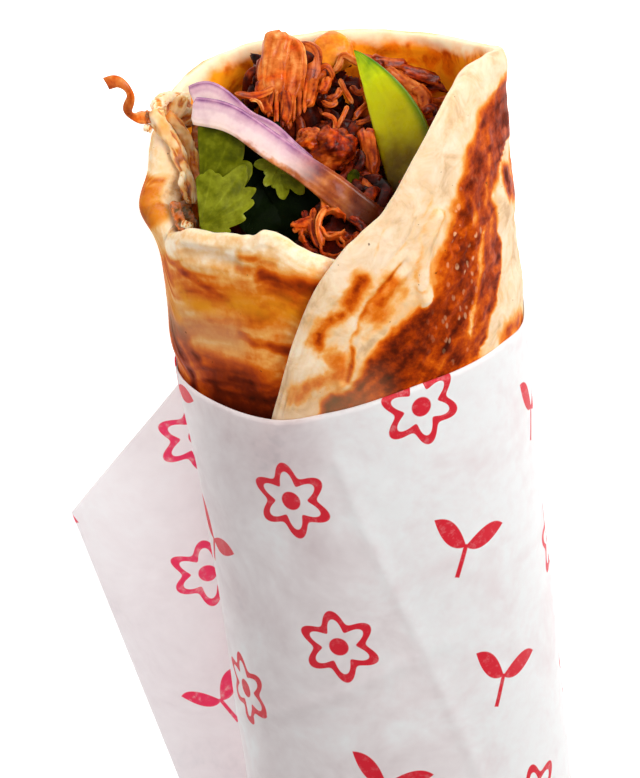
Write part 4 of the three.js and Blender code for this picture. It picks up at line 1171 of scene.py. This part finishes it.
def ribbon(skin, centre, across, radius, start, stop, width, tone, pitch=0.0, seed=0):
    """A curled strip: part of a ring about an axis, with ragged edges."""
    rows, columns = 6, 40
    axis = unit(np.asarray(across, float))
    first = unit(np.cross(axis, OPENING + np.array([0.01, 0, 0])))
    second = np.cross(axis, first)
    turn = np.radians(np.linspace(start, stop, columns))[None, :, None]
    share = np.linspace(-0.5, 0.5, rows)[:, None, None]
    wobble = 1 + 0.08 * np.sin(3 * turn + seed) + 0.05 * np.sin(7 * turn + 2 * seed)
    ring = (first * np.cos(turn) + second * np.sin(turn)) * radius * wobble
    run = pitch * (turn - turn[:, :1]) / (2 * np.pi)
    edge = width * (1 + 0.25 * np.sin(5 * turn + seed))
    middle = np.asarray(centre) + ring + axis * (share * edge + run)
    taper = np.minimum(1, 0.25 + 6 * np.minimum(np.linspace(0, 1, columns), np.linspace(1, 0, columns)))[None, :]
    half = 0.22 * np.broadcast_to(taper, middle.shape[:2])
    points, faces, _ = thick_sheet(middle, half, half)
    value = tone + 0.12 * noise(points, 1.4, seed + 131, 2)
    skin.add(points, faces, tone=np.clip(value, 0, 1), gold=0)


def ribbons():
    """Curled strips of meat at the front, over the flap."""
    skin = Skin()
    ring_axis = (0.1, 0.75, 0.66)
    ribbon(skin, (-0.6, 28.7, 16.4), ring_axis, 2.3, 40, 330, 1.9, 0.64, 0.3, 1)
    ribbon(skin, (-0.7, 28.9, 15.4), ring_axis, 2.0, 10, 190, 1.8, 0.54, 0.3, 2)
    ribbon(skin, (-1.2, 25.9, 18.2), (0.05, 0.6, 0.8), 1.9, -40, 300, 1.3, 0.62, 0.4, 3)
    ribbon(skin, (0.9, 26.3, 17.4), (-0.3, 0.7, 0.6), 1.2, 20, 320, 1.1, 0.5, 0.3, 4)
    ribbon(skin, (-5.2, 27.2, 16.6), (0.5, 0.6, 0.5), 1.1, 0, 300, 1.0, 0.46, 0.3, 5)
    table = [
        ([(-2.3, 33, 11.6), (-1.5, 31.8, 12.8), (-1.7, 30.6, 14.4)], 1.5, 0.84, 2, 0.2),
        ([(-1.5, 31.2, 15.2), (-2.7, 30.2, 16.6), (-3, 27.8, 18), (-2.6, 26.4, 18.6)], 1.05, 0.74, 2, 0.1),
        ([(-3.3, 31, 14), (-4, 29.3, 15.6), (-3.8, 27.2, 17.4), (-3.2, 25.8, 18.4)], 1.2, 0.58, 2, 0.1),
        ([(-6.8, 28.5, 14.8), (-5.6, 28.9, 15.2), (-4, 29.3, 15.4)], 1.9, 0.64, 2, 0.4),
        ([(-5.8, 26.9, 16.6), (-5, 25.6, 17.6), (-3.8, 25, 18.6)], 1.2, 0.42, 2, 0.3),
        ([(-3, 25, 19), (-1.4, 24.2, 19.6), (0.8, 24.9, 19)], 1.1, 0.62, 2, 0.2),
        ([(0.4, 27.2, 17), (2, 26.2, 17), (3.6, 26.4, 16)], 1.5, 0.48, 2, 0.3),
        ([(2.2, 29, 15), (3.4, 28, 15.4), (4.2, 26.8, 16)], 1.6, 0.4, 2, 0.3),
        ([(-5, 30.2, 13.6), (-4.4, 28.4, 14.8), (-5, 27, 15.8)], 1.3, 0.36, 2, 0.3),
    ]
    pieces(skin, table, 71)
    return skin.piece("chicken_ribbons", meat_material("chicken_ribbons", 0.1), "chicken")


def stray_strand():
    """A thin strand of meat that hangs over the left corner of the rim."""
    skin = Skin()
    points = [(-34.0, 51.2, -0.6), (-32.4, 51.4, -0.4), (-30.8, 50.2, 0), (-30.4, 48.6, 0), (-31.2, 46.6, -0.6),
              (-31.0, 45.0, -1.6), (-29.6, 43.6, -3.4), (-27.4, 42.8, -5)]  # fmt: skip
    chunk(skin, points, lambda t: 1.4 + 0.7 * np.exp(-t * 9) + 0.3 * np.sin(17 * t) + 0.7 * smoothstep(t, 0.7, 1),
          lambda t: 0.7 + 0.3 * smoothstep(t, 0.7, 1), 0.74, 1, 81, 0.2, 0.12, 0.2, 20, 70)  # fmt: skip
    return skin.piece("stray_strand", meat_material("stray_strand", 0.15), "chicken")


# ---- Onion ----

ONION_FRONT = [(-20.6, 45.4, 1.6), (-15, 44.6, 5), (-9.6, 41, 8.5), (-5, 37.6, 11), (0.6, 32.8, 13.2), (4.2, 29.4, 14.5),
               (8.5, 25.4, 15), (12.5, 21.4, 14.5)]  # fmt: skip
ONION_BACK = [(-20.6, 46.2, -2.4), (-18.2, 46.9, -1.6), (-15.2, 45.7, 1.0), (-12, 43.3, 3.8), (-8.3, 41.2, 6.2),
              (-5.6, 38.2, 7.4), (-3, 35.6, 7.6)]  # fmt: skip


def onion_strip(name, points, width, stain_from, replaced):
    """A slice of an onion layer: thin, hollowed towards the opening, with its skin edge up."""
    along, around_count = 90, 40
    spine, tangent = curve(points, along)
    facing = np.broadcast_to(OPENING, spine.shape)
    normal = unit(facing - tangent * np.sum(facing * tangent, 1, keepdims=True))
    across = np.cross(normal, tangent)
    t = np.linspace(0, 1, along)[:, None]
    turn = 2 * np.pi * np.arange(around_count)[None, :] / around_count
    a = np.sign(np.cos(turn)) * np.abs(np.cos(turn)) ** 0.7
    b = np.sign(np.sin(turn)) * np.abs(np.sin(turn)) ** 0.7
    blunt = np.sqrt(np.clip(np.minimum(smoothstep(t, -0.01, 0.012), 1 - smoothstep(t, 0.96, 1.01)), 0.01, 1))
    half = width(t) / 2 * blunt
    wavy = 1 + 0.05 * np.sin(t * 9 + 1) + 0.03 * np.sin(t * 23)
    thick = 0.85 * blunt * (1 + 0.25 * a)
    hollow = 0.35 * (a**2 - 0.5) * blunt
    side = across[:, None] * (a * half * wavy)[..., None]
    depth = normal[:, None] * (b * thick + hollow)[..., None]
    rings = spine[:, None] + side + depth
    made, faces = closed_rings(rings, spine[0], spine[-1])
    up = np.concatenate([[0], np.broadcast_to(a, (along, around_count)).ravel(), [0]])
    run = np.concatenate([[0], np.broadcast_to(t, (along, around_count)).ravel(), [1]])
    lines = np.stack([up * 5, run * 6, 0 * up], -1)
    normal_all = np.concatenate([normal[:1], np.repeat(normal, around_count, 0), normal[-1:]])
    made = made + normal_all * (0.06 * noise(lines, (0.5, 3, 1), 101, 2))[:, None]
    skin = Skin()
    streak = noise(np.stack([up * 4, run * 9, 0 * up], -1), (0.5, 5, 1), 107, 3)
    skin.add(made, faces, up=up * 0.5 + 0.5, run=run, streak=streak, stain=smoothstep(run, *stain_from))
    return skin.piece(name, onion_material(name), "onion", [replaced])


def onion_material(name):
    m = Nodes(
        name,
        Subsurface_Weight=0.3,
        Subsurface_Radius=(0.002, 0.0012, 0.0012),
        Subsurface_Scale=0.8,
        Coat_Weight=0.12,
        Coat_Roughness=0.12,
        Specular_IOR_Level=0.2,
    )
    up, stain = m.value("up"), m.value("stain")
    wavy = m.fit(m.noise(2.5, 3, 0.6), 0.25, 0.75, -0.08, 0.08)
    level = m.math("ADD", up, wavy, clamp=True)
    level = m.math("ADD", level, m.math("MULTIPLY", m.value("streak"), 0.09), clamp=True)
    flesh = m.ramp(
        level,
        [(0.0, "E8BE9C"), (0.2, "ECD0C6"), (0.5, "EACECC"), (0.7, "DAB2BC"), (0.86, "B27E9C"), (1.0, "744070")],
    )
    blush = m.fit(m.noise(3.5, 3, 0.6), 0.45, 0.7, 0, 0.4)
    flesh = m.mix(blush, flesh, "C89AA4")
    oil = m.math("MULTIPLY", stain, m.fit(m.noise(4, 3, 0.6), 0.2, 0.5, 0.75, 1))
    along = m.fit(m.value("run"), 0.12, 0.3)
    low = m.math("MULTIPLY", m.fit(level, 0.24, 0.06), m.fit(m.noise(2.4, 3), 0.3, 0.5, 0.4, 0.95))
    low = m.math("MULTIPLY", low, along)
    flesh = m.mix(low, flesh, m.ramp(m.noise(2, 3), [(0.35, "8E3E0C"), (0.6, "CE7A34")]))
    brown = m.ramp(m.math("ADD", m.noise(3, 3), m.math("MULTIPLY", m.value("streak"), 0.1)), [(0.3, "601E02"), (0.5, "94420A"), (0.7, "BE7030")])
    brown = m.mix(m.fit(m.value("run"), 0.58, 0.8), brown, "441201")
    flesh = m.mix(oil, flesh, brown)
    m.bump(m.noise(0.8, 3, 0.6), 0.08, 0.5)
    return m.done(flesh, m.fit(m.noise(2, 2), 0.3, 0.7, 0.2, 0.36))


# ---- Coriander ----


def leaf(skin, base, way, normal, reach, start, stop, ovals, tone, cup=0.006, seed=0, teeth=0.05, rows=20, columns=70):
    """A blade that fans out from its base between two angles from way. Each lobe is an oval: (angle, length, slimness)."""
    way = unit(np.asarray(way, float))
    normal = unit(np.asarray(normal, float) - way * np.dot(normal, way))
    side = np.cross(normal, way)
    turn = np.linspace(start, stop, columns)[None, :]
    rho = np.linspace(0.02, 1, rows)[:, None]
    outline = np.full(turn.shape, 0.12)
    veins = np.zeros(turn.shape)
    for at, length, slim in ovals:
        c, s = np.cos(np.radians(turn - at)), np.sin(np.radians(turn - at))
        outline = np.maximum(outline, length * np.maximum(c, 0) / (c * c + (slim * s) ** 2))
        veins = np.maximum(veins, np.exp(-(((turn - at) / 1.8) ** 2)))
    outline = outline * (1 + teeth * (np.abs(np.sin(np.radians(turn) * 15 + seed)) - 0.6))
    r = reach * outline * rho
    a, b = r * np.cos(np.radians(turn)), r * np.sin(np.radians(turn))
    small = np.exp(-(((np.mod(rho * 8 + np.abs(turn) / 26, 1) - 0.5) / 0.1) ** 2)) * smoothstep(rho, 0.25, 0.5)
    where = np.stack(np.broadcast_arrays(a, b, 0 * a), -1)
    rise = 0.3 * noise(where, 3.5, seed + 111, 2) * rho - cup * (a * a * 0.6 + b * b)
    rise = rise - 0.12 * veins * (1 - 0.7 * rho) - 0.03 * small
    middle = np.asarray(base) + way * a[..., None] + side * b[..., None] + normal * rise[..., None]
    half = np.broadcast_to(0.12 + 0.1 * veins * (1 - rho), a.shape)
    points, faces, _ = thick_sheet(middle, half, half)
    light = tone + 0.1 * veins * (1 - 0.5 * rho) + 0.04 * small + 0.05 * noise(where, 1.5, seed + 113, 2)
    light = light + 0.06 * smoothstep(rho, 0.93, 1)
    skin.add(points, faces, tone=np.tile(np.broadcast_to(light, a.shape).ravel(), 2))


def leaf_material(name, colours, shine):
    m = Nodes(
        name,
        Subsurface_Weight=0.12,
        Subsurface_Radius=(0.0006, 0.001, 0.0003),
        Subsurface_Scale=0.5,
        Specular_IOR_Level=shine,
    )
    patches = m.fit(m.noise(2, 3, 0.6), 0.3, 0.7, -0.1, 0.1)
    colour = m.ramp(m.math("ADD", m.value("tone"), patches, clamp=True), colours)
    m.bump(m.noise(0.5, 2, 0.6), 0.05, 0.5)
    return m.done(colour, m.fit(m.noise(2, 2), 0.3, 0.7, 0.35, 0.5))


GREENS = [(0.0, "0A1000"), (0.25, "2A3000"), (0.5, "565900"), (0.72, "7C8016"), (1.0, "B2B85C")]
FAN = [(-62, 0.75, 2.2), (-28, 0.9, 2.2), (2, 1.0, 2.2), (34, 0.9, 2.2), (66, 0.75, 2.2)]


def coriander():
    material = leaf_material("coriander", GREENS, 0.06)
    upper = Skin()
    leaf(upper, (-21.3, 31.6, 8.6), (0.45, 0.86, -0.3), (-0.25, 0.35, 0.9), 13.6, -46, 23,
         [(14, 1.0, 1.7), (-4, 1.02, 2.0), (-30, 0.78, 2.2)], 0.46, 0.006, 3, 0.01, 36, 110)  # fmt: skip
    upper.piece("coriander_leaf_top", material, "coriander", ["coriander_leaf_upper"])
    lower = Skin()
    lobes = [(20, 1.1, 3.0), (3, 0.98, 4.0), (-7, 0.88, 4.5), (-20, 0.68, 3.5), (-42, 0.44, 2.2), (44, 0.84, 1.6)]
    leaf(lower, (-21.9, 29.4, 12.2), (9.7, 4.5, -1.6), (-0.1, 0.4, 0.9), 11.2, -70, 62, lobes, 0.57, 0.006, 5, 0.05, 36, 120)
    lower.piece("coriander_leaf_front", material, "coriander", ["coriander_leaf_lower"])
    small = Skin()
    for at, way, length, tone in (
        ((-7.7, 36.2, 7.0), (-1, 0.2, 0), 4.4, 0.66),
        ((-7.9, 36.2, 7.4), (-0.75, -0.62, 0.3), 4.0, 0.72),
        ((-7.6, 36, 7.8), (-0.12, -0.9, 0.4), 5.0, 0.64),
        ((-7.2, 36.2, 8.0), (0.45, -0.8, 0.4), 5.2, 0.56),
    ):
        leaf(small, at, way, OPENING, length, -80, 80, [(0, 1, 2.2), (-26, 0.7, 2.2), (26, 0.7, 2.2)], tone, 0.05, 7, 0.02)
    leaf(small, (4.2, 33.6, 6.6), (-0.5, -0.8, 0.3), OPENING, 2.6, -60, 60, [(0, 1, 1.4)], 0.34, 0.05, 9, 0.02)
    small.piece("coriander_sprig", material, "coriander", ["coriander_leaf_small"])
    # Painted shade: the leaves deep in the mouth are a near black copy of the coriander.
    bed = Skin()
    dark = [(0.0, "020400"), (0.5, "0A1402"), (1.0, "22330C")]
    leaf(bed, (-15, 26, 8.5), (0.9, 0.35, -0.1), (0.05, 0.42, 0.9), 11, -100, 100, FAN, 0.36, 0.02, 11)
    leaf(bed, (-2.5, 27, 8.5), (-0.8, 0.6, -0.2), (0.0, 0.42, 0.9), 10, -100, 100, FAN, 0.28, 0.02, 13)
    leaf(bed, (-10, 33, 3.5), (-0.2, 0.9, -0.3), (0.0, 0.42, 0.9), 10, -100, 100, FAN, 0.28, 0.02, 15)
    leaf(bed, (-9, 25.5, 10.5), (0.2, -0.3, 0.3), (0.0, 0.42, 0.9), 8.5, -100, 100, FAN, 0.22, 0.02, 17)
    bed.piece("coriander_dark_leaves", leaf_material("coriander_dark", dark, 0.02), "coriander_dark", ["coriander_bed"])


# ---- Lime ----


def lime():
    start, stop = np.array([6.4, 47.8, -10.4]), np.array([11.3, 19, 15])
    axis = unit(stop - start)
    length = np.linalg.norm(stop - start)
    face = unit(OPENING - axis * np.dot(OPENING, axis))
    outwards = np.cross(face, axis)
    lean = math.radians(20)
    face, outwards = face * math.cos(lean) - outwards * math.sin(lean), outwards * math.cos(lean) + face * math.sin(lean)
    depth, opening = 9.6, 46
    rows, columns = 100, 80
    v = np.linspace(0, 1, rows + 2)[1:-1, None]
    u = np.arange(columns)[None, :] / columns
    edge = u * 3
    turn = np.radians(opening * np.clip(edge - 1, 0, 1))
    r = depth * np.where(edge < 1, edge, np.where(edge < 2, 1, 3 - edge))
    outline = np.stack([r * np.cos(turn), -r * np.sin(turn)], -1)
    outline = outline + np.zeros((rows, 1, 1))
    for _ in range(5):
        outline = (np.roll(outline, 1, 1) + 2 * outline + np.roll(outline, -1, 1)) / 4
    size = np.sin(np.pi * v) ** 0.8
    at = outline * size[..., None]
    bend = 0.9 * np.sin(np.pi * v)
    centre = start + axis * (length * v)[..., None]
    rings = centre + outwards * (at[..., :1] - bend[..., None]) + face * at[..., 1:]
    rind = np.broadcast_to(smoothstep(np.hypot(outline[..., 0], outline[..., 1]), depth * 0.8, depth * 0.98), (rows, columns))
    bumpy = np.stack(np.broadcast_arrays(u * 40, v * 30, 0 * u), -1)
    rings = rings + face * (0.05 * noise(bumpy, 1.2, 121, 2) + 0.12 * noise(bumpy, 6, 123, 2))[..., None]
    points, faces = closed_rings(rings, start, stop)
    skin = Skin()
    skin.add(
        points,
        faces,
        rind=np.concatenate([[1], rind.ravel(), [1]]),
        run=np.concatenate([[0], np.broadcast_to(v, (rows, columns)).ravel(), [1]]),
    )
    m = Nodes(
        "lime",
        Subsurface_Weight=0.25,
        Subsurface_Radius=(0.0015, 0.002, 0.0004),
        Subsurface_Scale=0.8,
        Coat_Weight=0.3,
        Coat_Roughness=0.15,
        Specular_IOR_Level=0.15,
    )
    # Painted shade: the flesh and the rind darken to brown towards the wedge's lower end, by the outer flap.
    run = m.math("ADD", m.value("run"), m.fit(m.noise(5, 3, 0.6), 0.3, 0.7, -0.06, 0.06), clamp=True)
    flesh = m.ramp(run, [(0.0, "5E8A0C"), (0.14, "BCC80A"), (0.34, "B4AE02"), (0.5, "827200"), (0.64, "4E3202"), (0.8, "260C00")])
    skin_colour = m.ramp(run, [(0.0, "3E7006"), (0.3, "5E7E0C"), (0.55, "4E4C02"), (0.8, "200C00")])
    colour = m.mix(m.value("rind"), flesh, skin_colour)
    m.bump(m.noise(0.6, 2, 0.5), 0.06, 0.5)
    material = m.done(colour, m.fit(m.noise(1.2, 2), 0.35, 0.65, 0.22, 0.38))
    return skin.piece("lime_wedge_dressed", material, "lime", ["lime_wedge"])


# ---- Stage ----


def stage():
    lo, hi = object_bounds()
    bpy.ops.mesh.primitive_plane_add(size=6, location=((lo.x + hi.x) / 2, (lo.y + hi.y) / 2, 0))
    floor = bpy.context.object
    floor.name = "floor"
    m = Nodes("floor", Roughness=0.9, Specular_IOR_Level=0.0, Emission_Strength=0.62)
    m.set(m.shader, {"Emission Color": (1, 1, 1, 1)})
    shade = m.fit(m.noise(400, 2), 0.3, 0.7, 0.93, 0.97)
    floor.data.materials.append(m.done(m.add("ShaderNodeCombineColor", {0: shade, 1: shade, 2: shade}).outputs[0]))
    floor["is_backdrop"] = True
    world = bpy.data.worlds.new("studio")
    bpy.context.scene.world = world
    world.use_nodes = True
    world.node_tree.nodes["Background"].inputs["Color"].default_value = (1, 1, 1, 1)
    world.node_tree.nodes["Background"].inputs["Strength"].default_value = 0.22


def softbox(name, location, size, watts):
    """A square light aimed at the mouth."""
    light = bpy.data.lights.new(name, "AREA")
    light.shape = "SQUARE"
    light.size = size
    light.energy = watts
    made = bpy.data.objects.new(name, light)
    bpy.context.scene.collection.objects.link(made)
    aim = Vector(place((0, 10, 10)).tolist())
    where = Vector(place(location).tolist())
    made.location = where
    made.rotation_mode = "QUATERNION"
    made.rotation_quaternion = (aim - where).to_track_quat("-Z", "Y")


CAMERA_DISTANCE = 520  # from the paper's rim, mm
CAMERA_LEAN = math.radians(25)  # from straight above towards the mouth
CAMERA_ROLL = math.radians(7.5)
FOCAL = 3094  # picture heights are 778 of these units
CENTRE_OFFSET = (33, -46)  # where the rim's centre lies from the picture's middle, in the same units


def camera():
    data = bpy.data.cameras.new("camera")
    data.sensor_width = 36
    data.lens = FOCAL * 36 / 778
    made = bpy.data.objects.new("camera", data)
    bpy.context.scene.collection.objects.link(made)
    back = np.array([0, math.sin(CAMERA_LEAN), math.cos(CAMERA_LEAN)])
    up = np.array([0, math.cos(CAMERA_LEAN), -math.sin(CAMERA_LEAN)])
    right = np.array([1.0, 0, 0])
    c, s = math.cos(CAMERA_ROLL), math.sin(CAMERA_ROLL)
    axes = Matrix(np.stack([right * c - up * s, right * s + up * c, back], 1).tolist())
    to_rim = Vector((CENTRE_OFFSET[0] / FOCAL, -CENTRE_OFFSET[1] / FOCAL, -1)).normalized()
    turn = Vector((0, 0, -1)).rotation_difference(to_rim).to_matrix()
    pose = (axes @ turn.transposed()).to_4x4()
    pose.translation = Vector(place(back * CAMERA_DISTANCE).tolist())
    made.matrix_world = pose
    data.clip_start, data.clip_end = 0.01, 20
    bpy.context.scene.camera = made


# ---- Build ----

paper()
bread()
core()
chunks()
shreds()
ribbons()
stray_strand()
onion_strip("onion_front", ONION_FRONT, lambda t: 4.3 * (1 + 0.18 * t), (0.38, 0.58), "onion_strip_front")
onion_strip("onion_back", ONION_BACK, lambda t: 3.8 * (1 - 0.2 * t), (0.85, 1.2), "onion_strip_back")
coriander()
lime()
stage()
softbox("key", (380, 420, 620), 0.4, 7.0)
softbox("top", (-60, 330, 820), 0.9, 1)
softbox("fill", (-560, 60, 480), 0.8, 1.45)
camera()
bpy.context.scene.view_settings.view_transform = "Standard"
